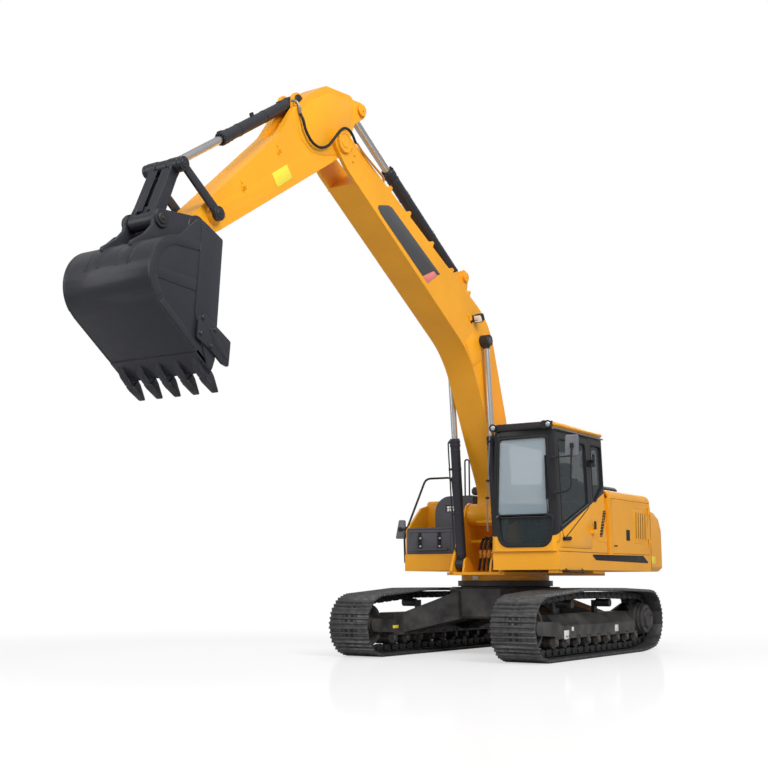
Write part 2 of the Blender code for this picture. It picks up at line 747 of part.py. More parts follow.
def cab():
    shell = loft([cab_section(CAB_BASE, 0), cab_section(CAB_TOP - 0.03, 0), cab_section(CAB_TOP, 0.03)])
    room = loft([cab_section(CAB_BASE + 0.03, CAB_WALL), cab_section(CAB_TOP - CAB_WALL, CAB_WALL)])
    cutters = [copied(room)]
    for place, corners in WINDOWS.values():
        cutters.append(in_wall(place, corners, -0.2, 0.2))
    doorway = [
        (DOOR_U[0], DOOR_W[0], 0.05), (DOOR_U[1], DOOR_W[0], 0.03), (DOOR_U[1], DOOR_W[1], 0.05),
        (DOOR_U[0], DOOR_W[1], 0.05),
    ]
    cutters.append(in_wall("left", doorway, -0.2, 0.2))
    halves = []
    for low in CAB_KNUCKLES:
        z = CAB_BASE + low + KNUCKLE_LONG + GAP
        halves.append(rod((*DOOR_HINGE, z), (*DOOR_HINGE, z + KNUCKLE_LONG), CAB_KNUCKLE, 12))
        halves.append(
            box(
                (DOOR_HINGE[0] - 0.05, DOOR_HINGE[0]), (CAB_LEFT - 0.06, DOOR_HINGE[1]),
                (z, z + KNUCKLE_LONG),
            ),
        )
    halves[1::2] = [cut(half, copied(room)) for half in halves[1::2]]
    node("cab_shell", fused(cut(shell, *cutters), *halves), CHARCOAL, house)
    for name, (place, corners) in WINDOWS.items():
        depth = CAB_WALL / 2
        low, high = (-depth, -depth + GLASS) if outward_of(place) > 0 else (depth - GLASS, depth)
        node(name, in_wall(place, inset(corners, 2 * GAP), low, high), GLAZING, house)
    roof = [
        (CAB_REAR - 0.01, 0.42), (CAB_NOSE - 0.06, 0.42), (CAB_NOSE - 0.06, 1.31), (CAB_REAR - 0.01, 1.31),
    ]
    cap = prism(
        [(x, y) for x, y in rounded([(*point, 0.07) for point in roof], 3)], CAB_TOP + GAP, CAB_TOP + 0.07,
        "XY", 0.025,
    )
    node("cab_roof", cap, ORANGE, house)
    shade = [
        (-0.055, GAP), (0.004, GAP), (0.012, -0.03), (0.05, -0.03), (0.06, 0.0), (0.03, 0.06),
        (-0.055, 0.075),
    ]
    visor = prism([(CAB_NOSE + a, CAB_TOP + b) for a, b in shade], CAB_RIGHT + 0.06, CAB_LEFT - 0.05)
    lamps = [
        turned(
            [(0, 0.045), (0.04, 0.055), (0.07, 0.055)], (CAB_NOSE + 0.014, y, CAB_TOP + 0.02), (1, 0, -0.1),
            14,
        )
        for y in (0.50, 1.24)
    ]
    node("cab_visor", fused(visor, *lamps), BLACK, house)


# 1 where the wall frame's n points out of the cab
def outward_of(place):
    normal = WALLS[place].to_3x3() @ Vector((0, 0, 1))
    centre = Vector(((CAB_REAR + CAB_NOSE) / 2, (CAB_LEFT + CAB_RIGHT) / 2, CAB_BASE))
    return 1 if normal.dot(WALLS[place].translation - centre) > 0 else -1


def cab_door():
    hinge = pivot("cab_door_hinge", (*DOOR_HINGE, 0), carrier=house)
    back = Matrix.Translation((-DOOR_HINGE[0], -DOOR_HINGE[1], 0))
    u0, u1, w0, w1 = DOOR_U[0] + RUN, DOOR_U[1] - RUN, DOOR_W[0] + RUN, DOOR_W[1] - RUN
    frame = [(u0, w0, 0.05), (u1, w0, 0.03), (u1, w1, 0.05), (u0, w1, 0.05)]
    out = outward_of("left")
    leaf = in_wall("left", frame, *sorted((0.0, -0.040 * out)))
    leaf = cut(leaf, in_wall("left", DOOR_WINDOW, -0.2, 0.2))
    for low in CAB_KNUCKLES:
        knuckle_z = CAB_BASE + low
        arm = box(
            (DOOR_HINGE[0] - 0.012, DOOR_HINGE[0] + 0.08), (CAB_LEFT - 0.06, DOOR_HINGE[1]),
            (knuckle_z, knuckle_z + KNUCKLE_LONG),
        )
        arm = cut(
            arm,
            box(
                (DOOR_HINGE[0] - 0.02, DOOR_HINGE[0] + 0.0225), (CAB_LEFT - 0.1, CAB_LEFT + 0.006),
                (knuckle_z - 0.1, knuckle_z + 0.1),
            ),
        )
        leaf = fused(
            leaf, arm,
            rod((*DOOR_HINGE, knuckle_z), (*DOOR_HINGE, knuckle_z + KNUCKLE_LONG), CAB_KNUCKLE, 12),
        )
    node("cab_door", moved(leaf, back), CHARCOAL, hinge)
    low, high = sorted((-0.017 * out, (-0.017 - GLASS) * out))
    pane = in_wall("left", inset(DOOR_WINDOW, 2 * GAP), low, high)
    node("cab_door_glass", moved(pane, back), GLAZING, hinge)


def cab_inside():
    floor = CAB_BASE + 0.03 + GAP
    middle = (CAB_LEFT + CAB_RIGHT) / 2
    seat_x = 0.18
    base = box((seat_x - 0.20, seat_x + 0.26), (middle - 0.20, middle + 0.20), (floor, floor + 0.34), 0.02)
    pan = box(
        (seat_x - 0.24, seat_x + 0.30), (middle - 0.25, middle + 0.25), (floor + 0.33, floor + 0.47), 0.04,
    )
    back = prism(
        rounded(
            [
                (seat_x - 0.26, floor + 0.40, 0.03), (seat_x - 0.12, floor + 0.40, 0.03),
                (seat_x - 0.24, floor + 1.02, 0.04), (seat_x - 0.36, floor + 1.02, 0.04),
            ],
        ),
        middle - 0.24, middle + 0.24,
    )
    head = prism(
        rounded(
            [
                (seat_x - 0.35, floor + 0.98, 0.03), (seat_x - 0.25, floor + 0.98, 0.03),
                (seat_x - 0.28, floor + 1.24, 0.03), (seat_x - 0.37, floor + 1.24, 0.03),
            ],
        ),
        middle - 0.13, middle + 0.13,
    )
    node("seat", fused(base, pan, back, head), SEAT_CLOTH, house)
    for name, side in (("console_left", 1), ("console_right", -1)):
        y0, y1 = sorted((middle + side * (0.25 + RUN), middle + side * 0.38))
        body = prism(
            rounded(
                [
                    (seat_x - 0.20, floor, 0.02), (seat_x + 0.22, floor, 0.02),
                    (seat_x + 0.46, floor + 0.56, 0.05), (seat_x + 0.40, floor + 0.64, 0.05),
                    (seat_x - 0.20, floor + 0.62, 0.05),
                ],
            ),
            y0, y1, edge=0.015,
        )
        at = (seat_x + 0.36, (y0 + y1) / 2)
        stick = turned(
            [(0, 0.035), (0.05, 0.012), (0.10, 0.012), (0.13, 0.024), (0.24, 0.026), (0.26, 0.015)],
            (*at, floor + 0.60), (0.05, -side * 0.1, 1), 12,
        )
        node(name, fused(body, stick), BLACK, house)
    plate = box((0.72, 0.98), (middle - 0.22, middle + 0.22), (floor, floor + 0.03))
    pedals = [plate]
    for y in (middle - 0.09, middle + 0.09):
        pedals.append(
            prism(
                [(0.74, floor + 0.02), (0.80, floor + 0.02), (0.95, floor + 0.13), (0.94, floor + 0.15)],
                y - 0.06, y + 0.06,
            ),
        )
        pedals.append(
            tube(
                bent([(0.82, y, floor + 0.02), (0.84, y, floor + 0.30), (0.76, y, floor + 0.62)], 0.1),
                0.011,
            ),
        )
        pedals.append(turned([(0, 0.016), (0.12, 0.018)], (0.765, y, floor + 0.60), (-0.2, 0, 1), 10))
    node("travel_pedals", fused(*pedals), BLACK, house)


# Engine house behind the cab
BODY_FRONT = CAB_REAR - 0.02
SHELL = 0.03
DOOR_TOP = BODY_ROOF - 0.12
BAY_FRONT = BODY_FRONT - 0.10
BAY_REAR = FRAME_REAR + 0.05
HOOD_HALF = 0.86
TANK_REAR = -1.15
DOOR_AXIS = (BAY_REAR + RUN + KNUCKLE, HOUSE_HALF + KNUCKLE - 0.004)
DOOR_LOW, DOOR_HIGH = FRAME_TOP + RUN, DOOR_TOP - RUN
DOOR_KNUCKLES = (DOOR_LOW + 0.12, DOOR_HIGH - 0.17)
HOOD_LOW = BODY_ROOF + RUN
HOOD_AXIS = (BAY_FRONT + 0.004, HOOD_LOW + 0.009)
HOOD_KNUCKLE, HOOD_KNUCKLE_Y = 0.012, 0.30


# The half of a side door's hinge that stays on the frame, above the door's own half
def fixed_knuckle(z):
    low = z + KNUCKLE_LONG + GAP
    high = low + KNUCKLE_LONG
    barrel = rod((*DOOR_AXIS, low), (*DOOR_AXIS, high), KNUCKLE, 10)
    near, far = HOUSE_HALF + 0.003, HOUSE_HALF + 0.012
    plan = [
        (BAY_REAR - 0.03, HOUSE_HALF - 0.01), (BAY_REAR, HOUSE_HALF - 0.01), (BAY_REAR, near),
        (DOOR_AXIS[0], near),
    ]
    plan += [(DOOR_AXIS[0], far), (BAY_REAR - 0.03, far)]
    return fused(barrel, prism(plan, low, high, "XY"))


def shoulder(x0, x1, mirror):
    corner = 0.12
    outer = [(HOOD_HALF, BODY_ROOF)] + arc(
        (HOUSE_HALF - corner, BODY_ROOF - corner), corner, 90, 0, 5,
    ) + [(HOUSE_HALF, DOOR_TOP)]
    inner = [(HOUSE_HALF - SHELL, DOOR_TOP)] + arc(
        (HOUSE_HALF - corner, BODY_ROOF - corner), corner - SHELL, 0, 90, 5,
    ) + [(HOOD_HALF, BODY_ROOF - SHELL)]
    shape = prism(outer + inner, x0, x1, "YZ")
    return moved(shape, Matrix.Scale(-1, 4, (0, 1, 0))) if mirror else shape


def engine_house():
    base = FRAME_TOP + GAP
    front = box((BAY_FRONT, BODY_FRONT), (0.42, HOUSE_HALF - 0.002), (base, DOOR_TOP))
    across_front = box((BAY_FRONT, BAY_FRONT + SHELL), (-0.42, HOUSE_HALF - 0.03), (base, BODY_ROOF - 0.02))
    rear = box((FRAME_REAR + GAP, BAY_REAR), (-HOUSE_HALF + 0.002, HOUSE_HALF - 0.002), (base, DOOR_TOP))
    rear_top = box(
        (FRAME_REAR + GAP, BAY_REAR), (-HOUSE_HALF + 0.10, HOUSE_HALF - 0.10),
        (DOOR_TOP - 0.02, BODY_ROOF - 0.01),
    )
    left = shoulder(FRAME_REAR + GAP, BODY_FRONT, False)
    right = shoulder(FRAME_REAR + GAP, TANK_REAR - RUN, True)
    hinges = [half for z in DOOR_KNUCKLES for half in both_sides(fixed_knuckle(z))]
    start = HOOD_KNUCKLE_Y + KNUCKLE_LONG + GAP
    barrel = across(HOOD_AXIS, HOOD_KNUCKLE, start, start + KNUCKLE_LONG, 10)
    foot = box(
        (HOOD_AXIS[0] - 0.009, HOOD_AXIS[0] + 0.011), (start, start + KNUCKLE_LONG),
        (BODY_ROOF - 0.03, HOOD_AXIS[1]),
    )
    hinges += both_sides(fused(barrel, foot))
    node("body_frame", fused(front, across_front, rear, rear_top, left, right, *hinges), ORANGE, house)


def side_door(name, x0, x1, side, slots):
    low, high = DOOR_LOW, DOOR_HIGH
    axis = (DOOR_AXIS[0], side * DOOR_AXIS[1])
    hinge = pivot(name + "_hinge", (*axis, 0), carrier=house)
    leaf = box((x0, x1), (HOUSE_HALF - SHELL, HOUSE_HALF), (low, high))
    cutters = []
    for k in range(slots):
        top = (x0 + 0.14 + 0.075 * k, high - 0.14)
        foot = (top[0] - 0.02, low + 0.20)
        ring = [
            (foot[0] - 0.018, foot[1], 0.015), (foot[0] + 0.018, foot[1], 0.015),
            (top[0] + 0.018, top[1], 0.015), (top[0] - 0.018, top[1], 0.015),
        ]
        cutters.append(prism(rounded(ring, 2), HOUSE_HALF - 0.1, HOUSE_HALF + 0.1))
    if cutters:
        leaf = cut(leaf, *cutters)
    for z in DOOR_KNUCKLES:
        recess = (z + KNUCKLE_LONG, z + 2 * KNUCKLE_LONG + 0.004)
        past = DOOR_AXIS[0] + KNUCKLE + RUN
        leaf = cut(leaf, box((x0 - 0.01, past), (HOUSE_HALF - 0.012, HOUSE_HALF + 0.01), recess))
        leaf = fused(leaf, rod((*DOOR_AXIS, z), (*DOOR_AXIS, z + KNUCKLE_LONG), KNUCKLE, 10))
    if side < 0:
        leaf = mirrored(leaf)
    node(name, moved(leaf, Matrix.Translation((-axis[0], -axis[1], 0))), ORANGE, hinge)


def hood():
    x0, x1 = BAY_REAR + RUN, BAY_FRONT - 0.01
    z0, z1 = HOOD_LOW, BODY_ROOF + 0.13
    hinge = pivot("engine_hood_hinge", (HOOD_AXIS[0], 0, HOOD_AXIS[1]), carrier=house)
    lid = box((x0, x1), (-HOOD_HALF - 0.03, HOOD_HALF + 0.03), (z0, z1), 0.035)
    room = box((x0 + SHELL, x1 - SHELL), (-HOOD_HALF, HOOD_HALF), (z0 - 0.1, z1 - SHELL))
    lid = cut(lid, room)
    intake = box((x1 - 0.62, x1 - 0.28), (0.30, 0.66), (z1 - 0.01, z1 + 0.06), 0.02)
    wide = (HOOD_KNUCKLE_Y, HOOD_KNUCKLE_Y + KNUCKLE_LONG)
    knuckle = across(HOOD_AXIS, HOOD_KNUCKLE, *wide, 10)
    arm = box((x1 - 0.05, HOOD_AXIS[0]), wide, (HOOD_AXIS[1] - 0.005, HOOD_AXIS[1] + 0.008))
    lid = fused(lid, intake, *both_sides(fused(knuckle, arm)))
    lid = moved(lid, Matrix.Translation((-HOOD_AXIS[0], 0, -HOOD_AXIS[1])))
    node("engine_hood", lid, CHARCOAL, hinge)
    y = 0.34 - HOUSE_HALF
    stack = [(-1.72, y, BODY_ROOF + GAP), (-1.72, y, BODY_ROOF + 0.42), (-1.86, y, BODY_ROOF + 0.52)]
    stack = tube(bent(stack, 0.10), 0.045)
    flange = rod((-1.72, y, BODY_ROOF + GAP), (-1.72, y, BODY_ROOF + 0.02), 0.075)
    node("exhaust", fused(stack, flange), BLACK, house)
    block = box((-1.72, TANK_REAR - 0.05), (-0.62, 0.62), (FRAME_TOP + 0.05, FRAME_TOP + 0.68), 0.03)
    feet = [
        box((x, x + 0.08), (y, y + 0.08), (FLOOR_LOW + 0.04 + GAP, FRAME_TOP + 0.06))
        for x in (-1.66, -1.34)
        for y in (-0.30, 0.22)
    ]
    node("engine_block", fused(block, *feet), SLATE, house)


# Right-hand side: fuel tank, tool box with its lid, and the grey fairing
TANK_FRONT = -0.12
BOX_TOP = 1.70
LID_HINGE_X = 0.105


def right_side():
    base = FRAME_TOP + GAP
    inner, outer = -0.44, -HOUSE_HALF
    tank = box((TANK_REAR, TANK_FRONT), (outer, inner), (base, BODY_ROOF - 0.10), 0.03)
    middle = (outer + inner) / 2
    neck = rod((-0.55, middle + 0.10, BODY_ROOF - 0.12), (-0.55, middle + 0.10, BODY_ROOF - 0.05), 0.06)
    fin = prism(
        [
            (TANK_FRONT - 0.1, base), (RIGHT_FRONT - 0.03, base), (RIGHT_FRONT - 0.03, BOX_TOP),
            (0.06, 2.03), (TANK_FRONT - 0.1, BODY_ROOF - 0.14),
        ],
        outer, outer + 0.035,
    )
    node("fuel_tank", fused(tank, neck, fin), ORANGE, house)
    y0, y1 = outer + 0.035 + GAP, inner
    case = box((TANK_FRONT + GAP, RIGHT_FRONT), (y0, y1), (base, BOX_TOP))
    room = box(
        (LID_HINGE_X + 0.02, RIGHT_FRONT - 0.025), (y0 + 0.025, y1 - 0.025), (base + 0.02, BOX_TOP + 0.1),
    )
    rung = box((RIGHT_FRONT - 0.02, RIGHT_FRONT + 0.05), (y0 + 0.20, y1 - 0.20), (base + 0.05, base + 0.075))
    node("tool_box", fused(cut(case, room), rung), GREY_PLASTIC, house)
    hinge = pivot("tool_box_hinge", (LID_HINGE_X, 0, BOX_TOP + 0.012), carrier=house)
    lid = box((LID_HINGE_X, RIGHT_FRONT), (y0, y1), (BOX_TOP + GAP, BOX_TOP + 0.024), 0.006)
    node(
        "tool_box_lid", moved(lid, Matrix.Translation((-LID_HINGE_X, 0, -BOX_TOP - 0.012))), GREY_PLASTIC,
        hinge,
    )
    right = outer + 0.28
    profile = [
        (inner - 0.01, BOX_TOP + GAP), (inner - 0.01, 2.19, 0.02), (right, 2.19, 0.24),
        (right, BOX_TOP + GAP),
    ]
    profile = rounded(profile, 8)
    fairing = prism(profile, TANK_FRONT + GAP, LID_HINGE_X - RUN - 0.01, "YZ")
    lamp = box((LID_HINGE_X - 0.035, LID_HINGE_X + 0.1), (middle, middle + 0.28), (1.96, 2.06))
    node("lamp_fairing", cut(fairing, lamp), GREY_PLASTIC, house)


def rails_and_mirrors():
    top = BODY_ROOF - 0.10
    out, over = -HOUSE_HALF - 0.04, 0.31 - HOUSE_HALF
    rail = [
        (0.40, -HOUSE_HALF - GAP, 1.24),
        (0.40, out, 1.24),
        (0.42, out, 1.62),
        (-0.02, 0.06 - HOUSE_HALF, 2.47),
        (-0.36, over, 2.50),
        (-0.42, over, top + 0.008),
    ]
    rail = tube(bent(rail, 0.08), 0.016)
    post = rod((-0.42, over, top + GAP), (-0.42, over, top + 0.012), 0.035)
    arm = tube([(0.365, out + 0.012, 1.72), (0.33 + GAP, out - 0.13, 1.72)], 0.010)
    node("handrail", fused(rail, post, arm), BLACK, house)
    node(
        "mirror_right", box((0.28, 0.33 - 0.01), (out - 0.22, out - 0.09), (1.60, 1.86), 0.015), BLACK,
        house,
    )
    y = CAB_LEFT + 0.26
    z = CAB_TOP - 0.49
    face = box((1.17, 1.22), (y - 0.08, y + 0.08), (z + 0.04, z + 0.32), 0.015)
    wall_y = CAB_LEFT - CAB_LEAN_LEFT * (z - CAB_BASE) / CAB_HIGH
    stay = [(1.10, wall_y + 0.002, z), (1.12, CAB_LEFT + 0.05, z), (1.19, y, z), (1.195, y, z + 0.09)]
    stay = tube(bent(stay, 0.05, 3), 0.010)
    node("mirror_left", fused(face, stay), BLACK, house)


# Boom and its cylinders
def boom():
    at = pivot("boom_pivot", (BOOM_FOOT[0], 0, BOOM_FOOT[1]), BOOM_ANGLE, house)
    tip = (BOOM_LONG, 0.0)
    outline = [
        *arc((0, 0), 0.17, 125, 270, 6),
        (0.25, 0.15, 0.4),
        (2.2, 0.72, 1.3),
        (BOOM_LONG - 0.27, -0.15, 0.3),
        *arc(tip, 0.165, -75, 70, 7),
        (BOOM_LONG - 0.18, 0.235, 0.4),
        (2.2, 1.50, 0.9),
        (0.75, 0.83, 1.5),
    ]
    body = prism(rounded(outline, 12), -BOOM_HALF, BOOM_HALF)
    foot_half = GIRDER_Y - GAP
    slot = ARM_HALF + RUN
    fork = prism(
        [(BOOM_LONG - 0.55, 0.8), (BOOM_LONG - 0.45, -0.5), (BOOM_LONG + 0.5, -0.5), (BOOM_LONG + 0.5, 0.8)],
        -slot, slot,
    )
    parts = [
        across((0, 0), 0.15, -foot_half, foot_half), across(tip, 0.13, -BOOM_HALF - 0.03, -slot),
        across(tip, 0.13, slot, BOOM_HALF + 0.03),
    ]
    boss = LIFT_Y - LIFT_CYL["half"] - GAP
    parts.append(across(LIFT_PIN, 0.11, -boss, boss))
    ear = belt([(CROWD_FOOT[0] - 0.30, 1.15, 0.05), (CROWD_FOOT[0] + 0.25, 1.05, 0.05), (*CROWD_FOOT, 0.10)])
    eye = CROWD_CYL["half"] + GAP
    for side in (-1, 1):
        parts.append(prism(ear, *sorted((side * eye, side * (eye + 0.04)))))
        parts.append(across(CROWD_FOOT, 0.06, *sorted((side * (eye + 0.03), side * (eye + 0.06)))))
    lamp_at = (2.46, 1.2)
    parts.append(
        box(
            (lamp_at[0] - 0.03, lamp_at[0] + 0.05), (BOOM_HALF - 0.01, BOOM_HALF + 0.12),
            (lamp_at[1] - 0.02, lamp_at[1] + 0.02),
        ),
    )
    parts.append(
        turned(
            [(0, 0.05), (0.05, 0.065), (0.08, 0.065)],
            (lamp_at[0] - 0.03, BOOM_HALF + 0.09, lamp_at[1] + 0.05), (0.8, 0, -0.6), 14,
        ),
    )
    node("boom", fused(cut(body, fork), *parts), ORANGE, at)
    return at


def side_angle(start, end):
    return math.degrees(math.atan2(end[1] - start[1], end[0] - start[0]))


def distance(start, end):
    return math.hypot(end[0] - start[0], end[1] - start[1])


# Barrel from its foot eye along +X, and rod with its eye at the far end, both laid out from the foot pin
def barrel_shape(spec, y):
    long, radius = spec["long"], spec["barrel"]
    body = turned(
        [
            (0.08, radius * 0.8), (0.12, radius), (long - 0.10, radius), (long - 0.10, radius + COLLAR),
            (long - 0.02, radius + COLLAR), (long, radius * 0.9),
        ],
        (0, y, 0), (1, 0, 0), 20,
    )
    eye = across((0, 0), spec["eye"], y - spec["half"], y + spec["half"])
    neck = box((0.03, 0.13), (y - spec["half"] * 0.8, y + spec["half"] * 0.8), (-radius * 0.7, radius * 0.7))
    bore = turned([(0.22, spec["rod"] + GAP), (long + 0.1, spec["rod"] + GAP)], (0, y, 0), (1, 0, 0), 20)
    return cut(fused(body, eye, neck), bore)


def rod_shape(spec, y, reach):
    start = reach - spec["stroke"] - 0.34
    bar = turned([(start, spec["rod"]), (reach - 0.04, spec["rod"])], (0, y, 0), (1, 0, 0), 20)
    eye = across((reach, 0), spec["eye"], y - spec["half"], y + spec["half"])
    return fused(bar, eye)


def cylinder(name, spec, foot, far, y, barrel_carrier):
    tilt = side_angle(foot, far)
    reach = distance(foot, far)
    at = pivot(name + "_barrel_pivot", (foot[0], 0, foot[1]), tilt, barrel_carrier)
    node(name + "_barrel", barrel_shape(spec, y), SLATE, at)
    slide = pivot(name + "_rod_slide", (0, 0, 0), 0, at)
    node(name + "_rod", rod_shape(spec, y, reach), CHROME, slide)


def arm_and_links(boom_at):
    arm_at = pivot("arm_pivot", (BOOM_LONG, 0, 0), ARM_ANGLE - BOOM_ANGLE, boom_at)
    tip = (ARM_LONG, 0.0)
    outline = [
        *arc((0, 0), 0.16, 215, 300, 4),
        (0.30, -0.15, 0.2),
        (2.60, -0.15, 0.4),
        *arc(tip, 0.115, -90, 90, 8),
        (1.06, 0.43, 0.6),
        (0.62, 0.60, 0.1),
        (0.30, 0.66, 0.1),
        (-0.10, 0.66, 0.06),
        (-0.56, 0.42, 0.12),
        (-0.60, 0.16, 0.06),
        (-0.42, 0.10, 0.06),
    ]
    body = prism(rounded(outline, 8), -ARM_HALF, ARM_HALF)
    crowd = CROWD_CYL["half"] + GAP
    eye_room = belt([
        (CROWD_EYE[0] - 0.3, CROWD_EYE[1] - 0.3, 0.13),
        (CROWD_EYE[0] + 0.02, CROWD_EYE[1] - 0.02, 0.13),
        (CROWD_EYE[0] - 0.3, CROWD_EYE[1] + 0.3, 0.13),
    ])
    eye_room = prism(eye_room, -crowd, crowd)
    body = cut(body, eye_room)
    boss = EAR_Y - GAP
    seat = ROCKER_Y - GAP
    parts = [across(tip, 0.10, -boss, boss), across(ROCKER_FOOT, 0.07, -seat, seat)]
    ears = belt([(CROWD_EYE[0], CROWD_EYE[1], 0.10), (-0.30, 0.18, 0.08), (-0.30, 0.42, 0.08)])
    for side in (-1, 1):
        parts.append(prism(ears, *sorted((side * crowd, side * ARM_HALF))))
        parts.append(across(CROWD_EYE, 0.06, *sorted((side * (ARM_HALF - 0.01), side * (ARM_HALF + 0.02)))))
    curl = CURL_CYL["half"] + GAP
    lug = belt([(CURL_FOOT[0] - 0.16, 0.50, 0.05), (CURL_FOOT[0] + 0.16, 0.50, 0.05), (*CURL_FOOT, 0.095)])
    for side in (-1, 1):
        parts.append(prism(lug, *sorted((side * curl, side * (curl + 0.04)))))
    curl_room = belt(
        [
            (CURL_FOOT[0] - 0.02, CURL_FOOT[1] - 0.01, 0.10),
            (CURL_FOOT[0] + 0.6, CURL_FOOT[1] - 0.13, 0.10), (CURL_FOOT[0] + 0.6, CURL_FOOT[1] + 0.4, 0.1),
        ],
    )
    body = cut(body, prism(curl_room, -curl, curl))
    body = cut(fused(body, *parts), across(CURL_FOOT, CURL_CYL["eye"] + RUN, -curl, curl))
    node("arm", body, ORANGE, arm_at)

    bucket_at = pivot("bucket_pivot", (ARM_LONG, 0, 0), -ARM_ANGLE, arm_at)
    bucket_node(bucket_at)

    # the rocker's top pin, found from both links' lengths, in the arm's frame
    ear = added((ARM_LONG, 0.0), turned_point((EAR_LONG, 0), EAR_ANGLE - ARM_ANGLE))
    top = links_meet(ROCKER_FOOT, ROCKER_LONG, ear, LINK_LONG)
    rocker_at = pivot(
        "rocker_pivot", (ROCKER_FOOT[0], 0, ROCKER_FOOT[1]), side_angle(ROCKER_FOOT, top), arm_at,
    )
    plate = (ROCKER_Y, ROCKER_Y + ROCKER_THICK)
    slim = prism(belt([(0, 0, 0.045), (ROCKER_LONG, 0, 0.045)]), *plate)
    rocker = fused(
        slim,
        across((0, 0), 0.075, plate[0], plate[1] + 0.012),
        across((ROCKER_LONG, 0), 0.068, plate[0], plate[1] + 0.012),
    )
    for name, shape in zip(("rocker_left", "rocker_right"), both_sides(rocker)):
        node(name, shape, SLATE, rocker_at)

    link_at = pivot(
        "link_pivot", (ROCKER_LONG, 0, 0), side_angle(top, ear) - side_angle(ROCKER_FOOT, top), rocker_at,
    )
    half = EAR_Y - GAP
    eye = CURL_CYL["half"] + RUN
    bars = []
    for side in (-1, 1):
        bars.append(
            prism(
                belt([(0, 0, 0.06), (LINK_LONG, 0, 0.06)]),
                *sorted((side * (eye + 0.02), side * (ARM_HALF - 0.01))),
            ),
        )
        bars.append(across((0, 0), 0.075, *sorted((side * eye, side * (ROCKER_Y - GAP)))))
    tube_across = across((LINK_LONG, 0), 0.080, -half, half)
    web = box((LINK_LONG * 0.42, LINK_LONG * 0.62), (-ARM_HALF + 0.02, ARM_HALF - 0.02), (-0.02, 0.02))
    node("h_link", fused(*bars, tube_across, web), SLATE, link_at)

    cylinder("bucket_cylinder", CURL_CYL, CURL_FOOT, top, 0.0, arm_at)


def links_meet(one, one_long, other, other_long):
    apart = distance(one, other)
    along = (one_long**2 - other_long**2 + apart**2) / (2 * apart)
    rise = math.sqrt(one_long**2 - along**2)
    ux, uz = (other[0] - one[0]) / apart, (other[1] - one[1]) / apart
    return one[0] + along * ux - rise * uz, one[1] + along * uz + rise * ux


def bucket_node(at):
    heel = (0.60, -0.66)
    radius = 0.38
    floor_turn = math.atan2(0.592, 0.806)
    lip = (0.14, -1.47)
    tangent = (heel[0] + radius * math.sin(floor_turn), heel[1] - radius * math.cos(floor_turn))
    turn = math.degrees(math.atan2(tangent[1] - heel[1], tangent[0] - heel[0]))
    wrap = arc(heel, radius, turn, 92, 22)
    side = [(0.05, -0.34), lip] + wrap + [(0.40, -0.23)]
    plain = prism(side, -BUCKET_HALF, BUCKET_HALF)
    peak = [(0.02, -0.18), (0.29, -0.06), (0.36, -0.06), (0.62, -0.29), (0.5, -0.45), (0.06, -0.45)]
    ear = (EAR_LONG * math.cos(math.radians(EAR_ANGLE)), EAR_LONG * math.sin(math.radians(EAR_ANGLE)))
    ear_plate = [
        *arc((0, 0), 0.11, 80, 200, 6),
        (-0.02, -0.30),
        (0.85, -0.50),
        (0.90, -0.36, 0.08),
        (0.64, -0.20, 0.2),
        *arc(ear, 0.10, 0, 100, 5),
    ]
    ear_plate = rounded(ear_plate, 6)
    parts = [plain]
    for sign in (-1, 1):
        parts.append(prism(peak, *sorted((sign * (BUCKET_HALF - BUCKET_WALL), sign * BUCKET_HALF))))
        parts.append(prism(ear_plate, *sorted((sign * EAR_Y, sign * (EAR_Y + EAR_THICK)))))
        parts.append(
            prism(
                [(0.0, -0.20), (0.16, -0.20), (0.28, -1.36), (0.14, -1.46), (0.10, -1.36)],
                *sorted((sign * (BUCKET_HALF - 0.01), sign * (BUCKET_HALF + 0.012))),
            ),
        )
        parts.append(
            prism(
                [(0.36, -0.98), (0.10, -1.00), (-0.08, -1.17), (-0.06, -1.42), (0.05, -1.38), (0.26, -1.16)],
                *sorted((sign * (BUCKET_HALF + 0.005), sign * (BUCKET_HALF + 0.035))),
            ),
        )
    inner = BUCKET_WALL
    wrap_in = arc(heel, radius - inner, turn, 92, 22)
    shift = (-inner * math.sin(floor_turn), inner * math.cos(floor_turn))
    lip_in = (lip[0] + shift[0], lip[1] + shift[1])
    front = [
        (-0.4, -0.34 - inner), (-0.4, -2.0), (lip_in[0] - 0.30, lip_in[1] - 0.30 * math.tan(floor_turn)),
        lip_in,
    ]
    room = prism(
        front + wrap_in + [(0.40, -0.23 - inner), (0.10, -0.325 - inner)], -BUCKET_HALF + inner,
        BUCKET_HALF - inner,
    )
    shell = cut(fused(*parts), room)
    teeth = []
    point = (-0.03, -1.64)
    for y in TOOTH_AT:
        root = [
            (lip[0] + 0.10, y - 0.05, lip[1] + 0.105), (lip[0] + 0.10, y + 0.05, lip[1] + 0.105),
            (lip[0] + 0.13, y + 0.05, lip[1] + 0.045), (lip[0] + 0.13, y - 0.05, lip[1] + 0.045),
        ]
        waist = [
            (lip[0] - 0.05, y - 0.045, lip[1] + 0.045), (lip[0] - 0.05, y + 0.045, lip[1] + 0.045),
            (lip[0] + 0.03, y + 0.045, lip[1] - 0.065), (lip[0] + 0.03, y - 0.045, lip[1] - 0.065),
        ]
        end = [
            (point[0] - 0.008, y - 0.035, point[1]), (point[0] - 0.008, y + 0.035, point[1]),
            (point[0] + 0.008, y + 0.035, point[1] - 0.006),
            (point[0] + 0.008, y - 0.035, point[1] - 0.006),
        ]
        teeth.append(loft([root, waist, end]))
    node("bucket", fused(shell, *teeth), SLATE, at)


